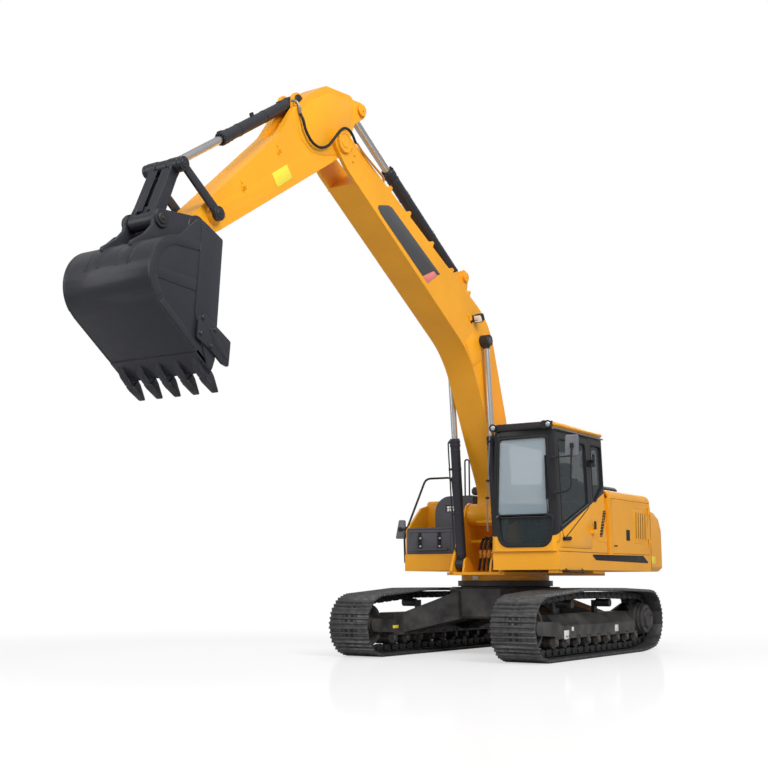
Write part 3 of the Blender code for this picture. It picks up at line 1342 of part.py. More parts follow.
tracks()
idlers()
sprockets()
track_frames()
carbody()
revolving_frame()
counterweight()
cab()
cab_door()
cab_inside()
engine_house()
side_door("side_door_left", BAY_REAR + RUN, BAY_FRONT - RUN, 1, 5)
side_door("side_door_right", BAY_REAR + RUN, TANK_REAR - RUN, -1, 0)
hood()
right_side()
rails_and_mirrors()
boom_at = boom()
arm_and_links(boom_at)
lift_pin = added(BOOM_FOOT, turned_point(LIFT_PIN, BOOM_ANGLE))
for side_name, y in (("left", LIFT_Y), ("right", -LIFT_Y)):
    cylinder("boom_cylinder_" + side_name, LIFT_CYL, LIFT_FOOT, lift_pin, y, house)
crowd_eye = added((BOOM_LONG, 0.0), turned_point(CROWD_EYE, ARM_ANGLE - BOOM_ANGLE))
cylinder("arm_cylinder", CROWD_CYL, CROWD_FOOT, crowd_eye, 0.0, boom_at)
bpy.context.scene.collection.children.unlink(shapes)
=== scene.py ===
import json
import math

import bmesh
import bpy
import numpy as np
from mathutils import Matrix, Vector


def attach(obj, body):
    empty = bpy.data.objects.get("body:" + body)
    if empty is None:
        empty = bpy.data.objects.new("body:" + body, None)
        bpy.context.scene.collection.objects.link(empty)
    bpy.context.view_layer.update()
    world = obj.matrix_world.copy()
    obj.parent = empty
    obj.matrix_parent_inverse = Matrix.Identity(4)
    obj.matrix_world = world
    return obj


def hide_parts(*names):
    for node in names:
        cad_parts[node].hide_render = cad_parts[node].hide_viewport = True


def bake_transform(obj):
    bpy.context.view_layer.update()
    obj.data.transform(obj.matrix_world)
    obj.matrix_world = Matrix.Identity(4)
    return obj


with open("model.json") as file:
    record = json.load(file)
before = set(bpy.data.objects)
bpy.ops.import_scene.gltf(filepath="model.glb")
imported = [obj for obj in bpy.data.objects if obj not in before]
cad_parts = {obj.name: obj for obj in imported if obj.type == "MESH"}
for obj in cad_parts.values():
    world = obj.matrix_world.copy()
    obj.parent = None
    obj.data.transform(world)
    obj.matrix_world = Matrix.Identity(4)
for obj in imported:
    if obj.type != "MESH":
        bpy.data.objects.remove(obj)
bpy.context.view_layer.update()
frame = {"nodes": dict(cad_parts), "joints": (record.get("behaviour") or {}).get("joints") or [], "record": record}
print("frame loaded:", len(frame["nodes"]), "nodes")

slewX = next(joint for joint in frame["joints"] if joint["name"] == "slew")["pos_m"][0]


# Shader maths
class Sock:  # a node's output that plain Python expressions can work with
    def __init__(self, shade, socket):  # the material's shade and the node's output
        self.shade, self.socket = shade, socket

    def math(self, operation, *values, clamp=False):  # one step of arithmetic
        return self.shade.math(operation, *values, clamp=clamp)

    def __add__(self, other):  # this + other
        return self.math("ADD", self, other)

    def __mul__(self, other):  # this * other
        return self.math("MULTIPLY", self, other)

    def __sub__(self, other):  # this - other
        return self.math("SUBTRACT", self, other)

    def __rsub__(self, other):  # other - this
        return self.math("SUBTRACT", other, self)

    __radd__, __rmul__ = __add__, __mul__

    def ramp(self, low, high, outLow=0.0, outHigh=1.0):  # low to high becomes outLow to outHigh
        values = {"Value": self, "From Min": low, "From Max": high, "To Min": outLow, "To Max": outHigh}
        return self.shade.node("ShaderNodeMapRange", {"clamp": True}, values)

    def clamp(self):  # held between 0 and 1
        return self.math("ADD", self, 0.0, clamp=True)


class Shade:  # one material and the few ways in which its nodes are made
    def __init__(self, name):  # a new material with its shader and output
        self.material = bpy.data.materials.new(name)
        self.material.use_nodes = True
        self.tree = self.material.node_tree
        self.shader = self.tree.nodes["Principled BSDF"]
        self.output = self.tree.nodes["Material Output"]

    def node(self, kind, settings=None, values=None, out=0):  # a node, set and linked
        made = self.tree.nodes.new(kind)
        for key, value in (settings or {}).items():
            setattr(made, key, value)
        self.fill(made, values or {})
        return Sock(self, made.outputs[out])

    def fill(self, made, values):  # an output is linked, a plain value is set
        for key, value in values.items():
            socket = made.inputs[key]
            if isinstance(value, Sock):
                self.tree.links.new(value.socket, socket)
            else:
                socket.default_value = value

    def math(self, operation, *values, clamp=False):  # a node for one step of arithmetic
        settings = {"operation": operation, "use_clamp": clamp}
        return self.node("ShaderNodeMath", settings, dict(enumerate(values)))

    def surface(self, **values):  # the shader's own inputs
        self.fill(self.shader, {key.replace("_", " "): value for key, value in values.items()})
        return self

    def place(self, scale=(1, 1, 1), turn=(0, 0, 0)):  # the object's own coordinates
        spot = self.node("ShaderNodeTexCoord", out="Object")
        if scale == (1, 1, 1) and turn == (0, 0, 0):
            return spot
        return self.node("ShaderNodeMapping", None, {"Vector": spot, "Scale": scale, "Rotation": turn})

    def split(self, vector):  # x, y and z apart
        made = self.node("ShaderNodeSeparateXYZ", None, {"Vector": vector})
        return [Sock(self, socket) for socket in made.socket.node.outputs]

    def noise(self, scale, detail=3.0, rough=0.5, vector=None):  # fractal noise
        values = {"Vector": vector or self.place(), "Scale": scale, "Detail": detail, "Roughness": rough}
        return self.node("ShaderNodeTexNoise", None, values, out="Fac")

    def mix(self, factor, first, second):  # first * (1 - factor) + second * factor
        return self.node(
            "ShaderNodeMix", {"data_type": "RGBA"}, {0: factor, 6: rgba(first), 7: rgba(second)}, out=2
        )

    def bump(self, height, strength=0.3, distance=0.002, normal=None):  # normal tilted by the height's slope
        values = {"Height": height, "Strength": strength, "Distance": distance}
        if normal:
            values["Normal"] = normal
        return self.node("ShaderNodeBump", None, values)

    def softEdges(self, radius=0.006):  # edges look rounded to light over this radius
        return self.node("ShaderNodeBevel", {"samples": 4}, {"Radius": radius})


# A plain colour gets full cover; a node's output stays as it is
def rgba(colour):
    return colour if isinstance(colour, Sock) else (*colour[:3], 1.0)


# Camera, fitted to the photograph
view = {"place": (15.223, 7.926, 0.973), "yaw": 213.173, "pitch": 9.302, "lens": 56.53}
camera = bpy.data.objects.new("camera", bpy.data.cameras.new("camera"))
bpy.context.scene.collection.objects.link(camera)
camera.location = (slewX + view["place"][0], view["place"][1], view["place"][2])
camera.rotation_euler = (math.radians(90 + view["pitch"]), 0, math.radians(view["yaw"] - 90))
camera.data.lens, camera.data.sensor_width = view["lens"], 36
camera.data.clip_end = 500
bpy.context.scene.camera = camera


# Studio
studio = {
    "world": 0.42, "key": 2200, "fill": 380, "back": 700, "crown": 1100, "floorShine": 0.24, "floorGlow": 0.70
}


# A rectangular lamp at a place, its -Z turned towards what it lights
def softBox(name, place, aim, size, power):
    lamp = bpy.data.objects.new(name, bpy.data.lights.new(name, "AREA"))
    lamp.data.shape, lamp.data.size, lamp.data.size_y = "RECTANGLE", size[0], size[1]
    lamp.data.energy = power
    lamp.location = place
    lamp.rotation_euler = (Vector(aim) - Vector(place)).to_track_quat("-Z", "Y").to_euler()
    bpy.context.scene.collection.objects.link(lamp)


# Four soft lamps and a white world; the glossy floor fades to plain white from 5.5 to 11 m out
def makeStudio():
    middle = (0, 0, 2.5)
    softBox("key", (7, 14, 13), middle, (9, 9), studio["key"])
    softBox("fill", (14, -8, 7), middle, (8, 8), studio["fill"])
    softBox("back", (-13, -4, 10), middle, (8, 8), studio["back"])
    softBox("crown", (10, 3, 17), middle, (10, 10), studio["crown"])
    world = bpy.data.worlds.new("world")
    bpy.context.scene.world = world
    world.use_nodes = True
    tree = world.node_tree
    path = tree.nodes.new("ShaderNodeLightPath")
    seen = tree.nodes.new("ShaderNodeMath")
    seen.operation = "MAXIMUM"
    tree.links.new(path.outputs["Is Camera Ray"], seen.inputs[0])
    tree.links.new(path.outputs["Is Transmission Ray"], seen.inputs[1])
    strength = tree.nodes.new("ShaderNodeMapRange")
    tree.links.new(seen.outputs[0], strength.inputs["Value"])
    strength.inputs["To Min"].default_value = studio["world"]
    strength.inputs["To Max"].default_value = 1.0
    background = tree.nodes["Background"]
    background.inputs["Color"].default_value = (1, 1, 1, 1)
    tree.links.new(strength.outputs[0], background.inputs["Strength"])

    side = 60
    mesh = bpy.data.meshes.new("floor")
    mesh.from_pydata(
        [(-side, -side, 0), (side, -side, 0), (side, side, 0), (-side, side, 0)], [], [(0, 1, 2, 3)]
    )
    floor = bpy.data.objects.new("floor", mesh)
    bpy.context.scene.collection.objects.link(floor)
    shade = Shade("studio floor")
    x, y = shade.split(shade.place())[:2]
    far = (shade.math("SQRT", x * x + y * y)).ramp(5.5, 11.0)  # plain white away from the machine
    shade.surface(Base_Color=(0.42, 0.42, 0.43, 1), Roughness=0.9, Specular_IOR_Level=0.0)
    path = shade.node("ShaderNodeLightPath", out="Is Camera Ray")
    glow = shade.node(
        "ShaderNodeEmission", None, {"Color": (1, 1, 1, 1), "Strength": path * studio["floorGlow"]}
    )
    white = shade.node("ShaderNodeEmission", None, {"Color": (1, 1, 1, 1), "Strength": 1.0})
    mirror = shade.node("ShaderNodeBsdfGlossy", None, {"Color": (1, 1, 1, 1), "Roughness": 0.10})
    matt = Sock(shade, shade.shader.outputs[0])
    both = shade.node("ShaderNodeAddShader", None, {0: matt, 1: glow})
    near = shade.node("ShaderNodeMixShader", None, {0: studio["floorShine"], 1: both, 2: mirror})
    mixed = shade.node("ShaderNodeMixShader", None, {0: far * path, 1: near, 2: white})
    shade.tree.links.new(mixed.socket, shade.output.inputs["Surface"])
    mesh.materials.append(shade.material)
    bpy.context.scene.view_settings.view_transform = "Standard"


makeStudio()
print("camera and studio set")


# Finishes
# What every paint shares: roughness that wanders over 0.1, and a fine orange peel under a clear coat
def coated(shade, tone, roughness, coat, dusty=None):
    rough = shade.noise(9, 4).ramp(0.3, 0.7, roughness - 0.04, roughness + 0.06)
    shade.surface(
        Base_Color=tone,
        Roughness=(rough + dusty * 0.4).clamp() if dusty else rough,
        Coat_Weight=coat,
        Normal=shade.bump(shade.noise(260, 2.0), 0.04, 0.001, shade.softEdges(0.006)),
    )
    shade.shader.inputs["Coat Roughness"].default_value = 0.15
    shade.shader.inputs["Specular IOR Level"].default_value = 0.28
    return shade.material


# The colour wanders from 0.95 to 1.04 of itself; dust grows from 1.2 m down to the ground
def paintFinish(name, colour, roughness=0.32, coat=0.35, dust=0.0):
    shade = Shade(name)
    mottle = shade.noise(1.6, 3.0)
    tone = shade.mix(mottle.ramp(0.35, 0.65), [c * 0.95 for c in colour], [min(c * 1.04, 1) for c in colour])
    z = shade.split(shade.place())[2]
    dusty = (z.ramp(1.2, 0.0) * shade.noise(5, 5).ramp(0.35, 0.7) * dust).clamp()
    return coated(shade, shade.mix(dusty, tone, (0.30, 0.27, 0.23)), roughness, coat, dusty)


# Orange below the line z = 1.611 - 0.395 * (x - 1.007), x from the slew axis, and charcoal above it
def cabFinish(name):
    shade = Shade(name)
    x, _, z = shade.split(shade.place())
    line = (x - (slewX + 1.007)) * -0.395 + 1.611
    low = (line - z).ramp(-0.001, 0.001)
    return coated(shade, shade.mix(low, (0.016, 0.016, 0.019), (0.93, 0.40, 0.014)), 0.34, 0.2)


# One noise gives grime: with it the colour falls to 0.6 of itself and the roughness rises
def metalFinish(name, colour, roughness=0.4, metallic=0.8):
    shade = Shade(name)
    grime = shade.noise(14, 5)
    shade.surface(
        Base_Color=shade.mix(grime.ramp(0.4, 0.7), colour, [c * 0.6 for c in colour]),
        Metallic=metallic,
        Roughness=grime.ramp(0.3, 0.7, roughness - 0.08, roughness + 0.12),
        Normal=shade.bump(shade.noise(90, 3), 0.12, 0.002, shade.softEdges(0.004)),
    )
    return shade.material


# An even colour that covers this part of what lies behind
def glassFinish(name, colour, cover):
    shade = Shade(name)
    shade.surface(Base_Color=(*colour, 1), Roughness=0.02, Alpha=cover, Specular_IOR_Level=0.6)
    return shade.material


# Full metal, its roughness between 0.27 and 0.31
def chromeFinish(name):
    shade = Shade(name)
    wander = shade.noise(6, 2).ramp(0.3, 0.7, 0.27, 0.31)
    shade.surface(Base_Color=(0.70, 0.70, 0.71, 1), Metallic=1.0, Roughness=wander)
    return shade.material


# A bright, smooth face under a full clear coat
def lensFinish(name):
    shade = Shade(name)
    shade.surface(Base_Color=(0.92, 0.94, 0.95, 1), Roughness=0.12, Coat_Weight=1.0)
    return shade.material


paints = {  # colour, roughness, coat, dust
    "orange_paint": ((0.93, 0.40, 0.014), 0.34, 0.22),
    "charcoal_paint": ((0.016, 0.016, 0.019), 0.42, 0.15),
    "slate_paint": ((0.026, 0.027, 0.035), 0.40, 0.2),
    "black_paint": ((0.022, 0.022, 0.024), 0.42, 0.2, 0.35),
    "trim grey": ((0.16, 0.16, 0.18), 0.38),
    "pale trim": ((0.30, 0.34, 0.34), 0.5, 0.0),
    "mirror grey": ((0.16, 0.16, 0.185), 0.4, 0.2),
    "screen": ((0.01, 0.012, 0.014), 0.12, 0.6),
    "white label": ((0.80, 0.80, 0.78), 0.5, 0.0),
    "hose rubber": ((0.018, 0.018, 0.019), 0.5, 0.0),
    "pipe orange": ((0.62, 0.26, 0.03),),
    "pale yellow": ((0.93, 0.76, 0.06), 0.4, 0.2),
    "decal grey": ((0.075, 0.077, 0.082), 0.4, 0.2),
    "decal red": ((0.80, 0.22, 0.22), 0.4, 0.2),
    "grey_plastic": ((0.10, 0.10, 0.115), 0.5, 0.0),
    "black_plastic": ((0.02, 0.02, 0.022), 0.5, 0.0),
    "seat_cloth": ((0.03, 0.03, 0.034), 0.8, 0.0),
}
metals = {  # colour, roughness, metallic
    "track_steel": ((0.115, 0.115, 0.118), 0.40, 0.6),
    "link steel": ((0.045, 0.045, 0.046), 0.5, 0.5),
    "roller steel": ((0.05, 0.05, 0.052), 0.45, 0.5),
    "bolt steel": ((0.06, 0.06, 0.062), 0.4, 0.6),
    "mirror face": ((0.75, 0.76, 0.78), 0.10, 1.0),
    "pale steel": ((0.62, 0.62, 0.60), 0.35, 0.6),
    "pipe steel": ((0.45, 0.44, 0.40), 0.35, 0.8),
    "cab lamp": ((0.55, 0.56, 0.57), 0.25, 0.6),
    "tooth steel": ((0.055, 0.055, 0.062), 0.42, 0.6),
    "pin steel": ((0.22, 0.22, 0.23), 0.38, 0.9),
}
finishes = {key: paintFinish(key.replace("_", " "), *values) for key, values in paints.items()}
finishes.update({key: metalFinish(key.replace("_", " "), *values) for key, values in metals.items()})
finishes.update({
    "cab paint": cabFinish("cab paint"),
    "chrome": chromeFinish("chrome"),
    "lamp lens": lensFinish("lamp lens"),
    "glass": glassFinish("glass", (0.03, 0.045, 0.05), 0.50),
    # The upper windscreen's glass gets a pale blue-grey cover: a painted sky reflection over its tint
    "glass pale": glassFinish("glass pale", (0.42, 0.52, 0.58), 0.45),
})


# Forms. A form is (points, faces): points in metres from the slew axis at the ground, x forward, y left
def unit(vectors):
    long = np.linalg.norm(vectors, axis=-1, keepdims=True)
    return vectors / np.maximum(long, 1e-12)


# Squares between neighbouring rows and columns of a grid; closed joins its last column to its first
def surface(points, closed=True, capped=True):
    rows, columns = points.shape[:2]
    i = np.arange(rows - 1)[:, None] * columns
    j = np.arange(columns if closed else columns - 1)[None, :]
    k = (j + 1) % columns
    faces = np.stack([i + j, i + k, i + columns + k, i + columns + j], -1).reshape(-1, 4).tolist()
    if capped:
        faces.append(list(range(columns))[::-1])
        faces.append(list(range((rows - 1) * columns, rows * columns)))
    return points.reshape(-1, 3), faces


# One form from several: each one's corner numbers rise by the points before it
def joined(*forms):
    listed = [form for entry in forms for form in ([entry] if isinstance(entry, tuple) else entry)]
    points, faces, start = [], [], 0
    for some, theirs in listed:
        points.append(some)
        faces += [[start + corner for corner in face] for face in theirs]
        start += len(some)
    return np.concatenate(points), faces


# Every point plus the offset
def shifted(form, *offset):
    return form[0] + np.array(offset, float), form[1]


# y changes its sign, and every face runs the other way round
def mirroredY(form):
    return form[0] * (1, -1, 1), [face[::-1] for face in form[1]]


# A form and its mirror image
def bothSides(form):
    return joined(form, mirroredY(form))


# Profile (distance, radius) turned about an axis: start + distance * axis + radius * (cos a, sin a)
def lathe(profile, start, axis, sides=48):
    profile = np.array(profile, float)
    axis = unit(np.array(axis, float))
    spare = np.array((0.0, 0.0, 1.0) if abs(axis[2]) < 0.9 else (1.0, 0.0, 0.0))
    one = unit(np.cross(axis, spare))
    other = np.cross(axis, one)
    a = turns(sides)[:, None]
    ring = np.cos(a) * one + np.sin(a) * other
    points = np.array(start, float) + profile[:, :1, None] * axis + profile[:, 1:, None] * ring
    return surface(points)


# A circle is carried along the path; its plane stands square to the path's direction at each point
def tube(path, radius, sides=10, ref=(0, 1, 0)):
    path = np.array(path, float)
    along = unit(np.gradient(path, axis=0))
    side = unit(np.cross(along, np.array(ref, float)))
    up = np.cross(side, along)
    a = turns(sides)[None, :, None]
    radius = np.broadcast_to(np.array(radius, float), (len(path),))[:, None, None]
    return surface(path[:, None] + radius * (np.cos(a) * side[:, None] + np.sin(a) * up[:, None]))


# Each corner becomes an arc: between its two touching points the radius turns at an even rate
def rounded(corners, radius=None, steps=6, closed=True):
    corners = np.array(corners, float)
    if radius is None:
        corners, radius = corners[:, :-1], corners[:, -1]
    radius = np.broadcast_to(np.array(radius, float), (len(corners),))
    before, after = np.roll(corners, 1, 0), np.roll(corners, -1, 0)
    back, ahead = unit(before - corners), unit(after - corners)
    half = np.arccos(np.clip((back * ahead).sum(-1), -1, 1)) / 2
    reach = np.minimum(np.linalg.norm(before - corners, axis=-1), np.linalg.norm(after - corners, axis=-1))
    cutBack = np.minimum(radius / np.maximum(np.tan(half), 1e-6), 0.499 * reach)[:, None]
    real = cutBack * np.tan(half)[:, None]
    centre = corners + unit(back + ahead) * real / np.maximum(np.sin(half), 1e-6)[:, None]
    first, last = corners + back * cutBack - centre, corners + ahead * cutBack - centre
    turn = np.maximum(math.pi - 2 * half, 1e-6)[:, None, None]
    t = np.linspace(0, 1, steps + 1)[None, :, None]
    arcs = (np.sin((1 - t) * turn) * first[:, None] + np.sin(t * turn) * last[:, None]) / np.sin(turn)
    arcs = arcs + centre[:, None]
    if not closed:
        arcs = np.concatenate([corners[:1], arcs[1:-1].reshape(-1, corners.shape[1]), corners[-1:]])
    line = arcs.reshape(-1, corners.shape[1])
    keep = np.linalg.norm(line - np.roll(line, 1, 0), axis=-1) > 1e-6
    keep[0] = keep[0] or not closed
    return line[keep]


# Outline of a tight band round circles (x, y, radius): in each direction the circle that reaches furthest
def belt(circles, steps=72):
    circles = np.array(circles, float)
    a = turns(steps)
    toward = np.stack([np.cos(a), np.sin(a)], -1)
    reach = toward @ circles[:, :2].T + circles[:, 2]
    best = circles[np.argmax(reach, 1)]
    return best[:, :2] + best[:, 2:] * toward


# centre + radius * (cos a, sin a), a in even steps from start to end in degrees
def arc(centre, radius, start, end, steps=16):
    a = np.radians(np.linspace(start, end, steps + 1))
    return np.stack([centre[0] + radius * np.cos(a), centre[1] + radius * np.sin(a)], -1)


def turns(count):  # even steps round a full turn
    return np.linspace(0, 2 * math.pi, count, endpoint=False)


def rect(u0, u1, w0, w1):  # the corners of a rectangle
    return [(u0, w0), (u1, w0), (u1, w1), (u0, w1)]


# How far each corner moves inwards per metre: the sum of its two edges' normals over 1 + their cosine
def inwards(outline):
    flat = np.array(outline, float)
    step = np.roll(flat, -1, 0) - flat
    area = (flat[:, 0] * np.roll(flat[:, 1], -1) - np.roll(flat[:, 0], -1) * flat[:, 1]).sum()
    normal = unit(np.stack([-step[:, 1], step[:, 0]], -1)) * np.sign(area)
    prior = np.roll(normal, 1, 0)
    return (normal + prior) / np.maximum(1 + (normal * prior).sum(-1, keepdims=True), 0.35)


# An outline is carried from low to high; over each rounded edge it moves inwards by edge * (1 - sin t)
def slab(outline, low, high, edge=0.004, steps=2):
    t = np.linspace(0, math.pi / 2, steps + 1)
    sink, rise = edge * (1 - np.sin(t)), edge * (1 - np.cos(t))
    insets = np.concatenate([sink, sink[::-1]])[:, None, None]
    levels = np.concatenate([low + rise, (high - rise)[::-1]])[:, None, None]
    rings = np.array(outline, float)[None] + insets * inwards(outline)[None]
    return surface(np.concatenate([rings, np.broadcast_to(levels, (*rings.shape[:2], 1))], -1))


# A closed ring round an outline; profile rows are (distance outwards from the outline, height over it)
def ringOn(outline, profile):
    flat, step = np.array(outline, float), inwards(outline)
    loops = [np.concatenate([flat - d * step, np.full((len(flat), 1), high)], -1) for d, high in profile]
    return surface(np.array(loops + loops[:1]), True, False)


def onEdge(form):  # outline in x and z, thickness in y
    return form[0][:, [0, 2, 1]], form[1]


def plank(outline, low, high, edge=0.004):  # an upright plate between two y
    return onEdge(slab(outline, low, high, edge))


# An upright plate with rounded corners, between two y
def roundPlate(corners, radius, steps, low, high, edge=0.004):
    return plank(rounded(corners, radius, steps), low, high, edge)


# A box between two x, two y and two z, with softened upper and lower edges
def block(x, y, z, edge=0.005):
    return slab(rect(*x, *y), *z, edge)


def hexHead(at, low, high, radius):  # a small six-sided head on a cross axis, its edge 2 mm in
    return across(at, [(low, radius), (high, radius - 0.002)], 6)


def across(at, profile, sides=40):  # a lathe about a level cross axis; profile rows are (y, radius)
    return lathe(profile, (at[0], 0, at[1]), (0, 1, 0), sides)


# Sections (rows) of equal length are joined in order, which closes them into one skin
def loft(sections):
    return surface(np.array(sections, float))


def placed(form, origin, degrees):  # from a boom's or arm's own frame to the machine's
    c, s = math.cos(math.radians(degrees)), math.sin(math.radians(degrees))
    x, y, z = form[0].T
    return np.stack([origin[0] + c * x - s * z, y, origin[1] + s * x + c * z], -1), form[1]


def bolt(at, axis, size=0.014, high=0.010):  # a six-sided head on a round washer
    washer = lathe([(0, size * 1.25), (high * 0.3, size * 1.25)], at, axis, 14)
    head = lathe([(high * 0.3, size), (high * 0.85, size), (high, size * 0.8)], at, axis, 6)
    return joined(washer, head)


# The same bolt at every place
def bolts(places, axis, size=0.014, high=0.010):
    return joined(bolt(at, axis, size, high) for at in places)


# Builds the piece from (form, finish) parts, moved by one function: doubles merged, faces turned outwards
def piece(name, parts, body, replaces=(), angle=34, move=None):
    forms = [move(form) if move else form for form, finish in parts]
    points, faces = joined(forms)
    mesh = bpy.data.meshes.new(name)
    mesh.from_pydata((points + (slewX, 0, 0)).tolist(), [], faces)
    indexes = np.concatenate([np.full(len(form[1]), k) for k, form in enumerate(forms)])
    mesh.polygons.foreach_set("material_index", indexes.astype(np.int32))
    for form, finish in parts:
        mesh.materials.append(finishes[finish])
    work = bmesh.new()
    work.from_mesh(mesh)
    bmesh.ops.remove_doubles(work, verts=work.verts, dist=1e-5)
    bmesh.ops.recalc_face_normals(work, faces=work.faces)
    work.to_mesh(mesh)
    work.free()
    return settle(bpy.data.objects.new(name, mesh), body, replaces, angle)


# Edges over the angle stay sharp; the piece rides on its body and the nodes it replaces are hidden
def settle(made, body, replaces=(), angle=32):
    mesh = made.data
    mesh.polygons.foreach_set("use_smooth", np.ones(len(mesh.polygons), bool))
    mesh.set_sharp_from_angle(angle=math.radians(angle))
    bpy.context.scene.collection.objects.link(made)
    if body:
        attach(made, body)
    if replaces:
        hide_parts(*replaces)
    return made


slotOf = {part["node"]: part["material_slot"] for part in frame["record"]["subparts"]}
bodyOf = {node: body for body, nodes in frame["record"]["behaviour"]["bodies"].items() for node in nodes}


# A copy of a CAD node with its doubles merged, its flats joined and its edges rounded
def softened(nodeName, name, finish, width=0.006, segments=2):
    mesh = frame["nodes"][nodeName].data.copy()
    mesh.name = name
    work = bmesh.new()
    work.from_mesh(mesh)
    bmesh.ops.remove_doubles(work, verts=work.verts, dist=1e-5)
    flat = math.radians(1)
    bmesh.ops.dissolve_limit(work, angle_limit=flat, verts=work.verts, edges=work.edges)
    work.to_mesh(mesh)
    work.free()
    mesh.materials.clear()
    mesh.materials.append(finishes[finish])
    made = settle(bpy.data.objects.new(name, mesh), bodyOf[nodeName], (nodeName,))
    if width:
        bevel = made.modifiers.new("edges", "BEVEL")
        bevel.width, bevel.segments, bevel.limit_method = width, segments, "ANGLE"
        bevel.angle_limit = math.radians(32)
        bevel.harden_normals = True
    return made


# Tracks
track = {
    "gauge": 2.38, "shoes": 49, "shoeWidth": 0.60, "plateThick": 0.012, "grouserHigh": 0.026,
    "grousers": (
        0.16, 0.50, 0.84
    ), "chainDeep": 0.115, "linkThick": 0.032, "linkSpace": 0.150, "boltSize": 0.013,
    "boltRows": (0.33, 0.67), "window": (0.013, 0.026),
}
idler = {
    "x": 1.747, "z": 0.408, "sweep": 0.408,
    "hub": [(0.030, 0.17), (0.040, 0.125), (0.090, 0.10), (0.130, 0.094), (0.134, 0.062)],
}
sprocket = {
    "x": -1.709, "z": 0.449, "sweep": 0.410, "teeth": 21, "root": 0.245,
    "hub": [
        (-0.132, 0.196), (-0.128, 0.200), (-0.035, 0.232), (-0.030, 0.236), (0.034, 0.236), (0.038, 0.228),
        (0.096, 0.224), (0.104, 0.214), (0.148, 0.212), (0.156, 0.204), (0.196, 0.200), (0.206, 0.190),
        (0.214, 0.150), (0.240, 0.142), (0.250, 0.128), (0.250, 0.060), (0.244, 0.055),
    ],
}
roller = {
    "row": (1.26, -1.36, 9), "half": 0.17,
    "tread": [
        (0.022, 0.078), (0.028, 0.066), (0.052, 0.066), (0.058, 0.077), (0.098, 0.077), (0.104, 0.070),
        (0.128, 0.066), (0.130, 0.050), (0.150, 0.046), (0.153, 0.030),
    ],
}
carrier = {"x": 0.62, "top": 0.888}


# Points at even steps along the band round idler, carrier rollers, sprocket and last roller
def chainJoints():
    high = track["grouserHigh"]
    lift = carrier["top"] - high - 0.30
    circles = [
        (-1.36, high + 0.10, 0.10), (idler["x"], idler["z"], idler["sweep"] - high),
        (carrier["x"], lift, 0.30)
    ]
    circles += [(-carrier["x"], lift, 0.30), (sprocket["x"], sprocket["z"], sprocket["sweep"] - high)]
    line = belt(circles, 720)
    line = np.concatenate([line, line[:1]])
    walked = np.concatenate([[0], np.cumsum(np.linalg.norm(np.diff(line, axis=0), axis=1))])
    goals = np.arange(track["shoes"]) * walked[-1] / track["shoes"]
    return np.stack([np.interp(goals, walked, line[:, 0]), np.interp(goals, walked, line[:, 1])], -1)


# One form at every joint: x runs along the chain, z out of it, y across it
def alongChain(form, joints):
    step = np.roll(joints, -1, 0) - joints
    along = unit(step)
    out = np.stack([along[:, 1], -along[:, 0]], -1)
    x, y, z = form[0].T
    spots = joints[:, None] + x[None, :, None] * along[:, None] + z[None, :, None] * out[:, None]
    points = np.stack([spots[..., 0], np.broadcast_to(y, spots.shape[:2]), spots[..., 1]], -1)
    count = len(form[0])
    faces = [[k * count + corner for corner in face] for k in range(len(joints)) for face in form[1]]
    return points.reshape(-1, 3), faces


# A shoe's outline: flat plate whose ends lap, with three ribs that narrow towards their tops
def shoeForm(pitch):
    half, thick, high = track["shoeWidth"] / 2, track["plateThick"], track["grouserHigh"]
    outline = [(0.004, -thick), (0.0, -thick * 0.2)]
    for place in track["grousers"]:
        rib = [
            (-0.020, 0.0), (-0.008, high - 0.003), (-0.004, high), (0.004, high), (0.008, high - 0.003),
            (0.020, 0.0)
        ]
        outline += [(place * pitch + x, z) for x, z in rib]
    outline += [(pitch - 0.003, 0.0), (pitch - 0.001, -thick * 0.6), (pitch - 0.008, -thick)]
    size, rows = track["boltSize"], [place * pitch for place in track["boltRows"]]
    heads = joined(
        lathe([(0, size), (0.010, size * 0.9)], (x, y, 0.0), (0, 0, 1), 6) for x in rows
        for y in (-0.105, 0.105)
    )
    # The mud holes are not cut: dark plates laid on the shoe are painted shade in their place
    long, wide = track["window"]
    windows = [((x - long, x + long), (y - wide, y + wide)) for x in rows for y in (-0.042, 0.042)]
    holes = joined(block(x, y, (-0.003, 0.0008), 0.0003) for x, y in windows)
    return plank(outline, -half, half, 0.003), heads, holes


# A link: band round its two pins, cut flat on the side where the rollers run, with round pin ends
def linkForm(pitch, y):
    thick, deep = track["linkThick"], track["chainDeep"]
    outline = belt([(0.03, -0.062, 0.036), (pitch + 0.012, -0.062, 0.036)], 20)
    outline[:, 1] = np.clip(outline[:, 1], -deep + 0.004, -track["plateThick"] - 0.001)
    outline = np.concatenate(
        [[(pitch * 0.25, -deep), (pitch * 0.80, -deep)], outline[outline[:, 1] > -deep + 0.006]]
    )
    centre = outline.mean(0)
    outline = outline[np.argsort(np.arctan2(outline[:, 1] - centre[1], outline[:, 0] - centre[0]))]
    side = math.copysign(1, y)
    link = plank(outline, *sorted((y - thick / 2, y + thick / 2)), 0.003)
    pin = lathe([(0, 0.019), (side * 0.012, 0.017)], (0.0, y + side * thick / 2, -0.062), (0, 1, 0), 12)
    return joined(link, pin)


# The same parts on both tracks, half the gauge out; turned parts are mirrored on the right
def onTracks(name, parts, node=None, turned=False):
    for side, sign in (("left", 1), ("right", -1)):
        move = lambda form: shifted(
            mirroredY(form) if turned and sign < 0 else form, 0, sign * track["gauge"] / 2, 0
        )
        piece(side + name, parts, "undercarriage", (node + side,) if node else (), 32, move)


# Points at these angles on a circle round a wheel's cross axis, at one y
def onCircle(wheel, radius, y, angles):
    return [(wheel["x"] + radius * math.cos(a), y, wheel["z"] + radius * math.sin(a)) for a in angles]


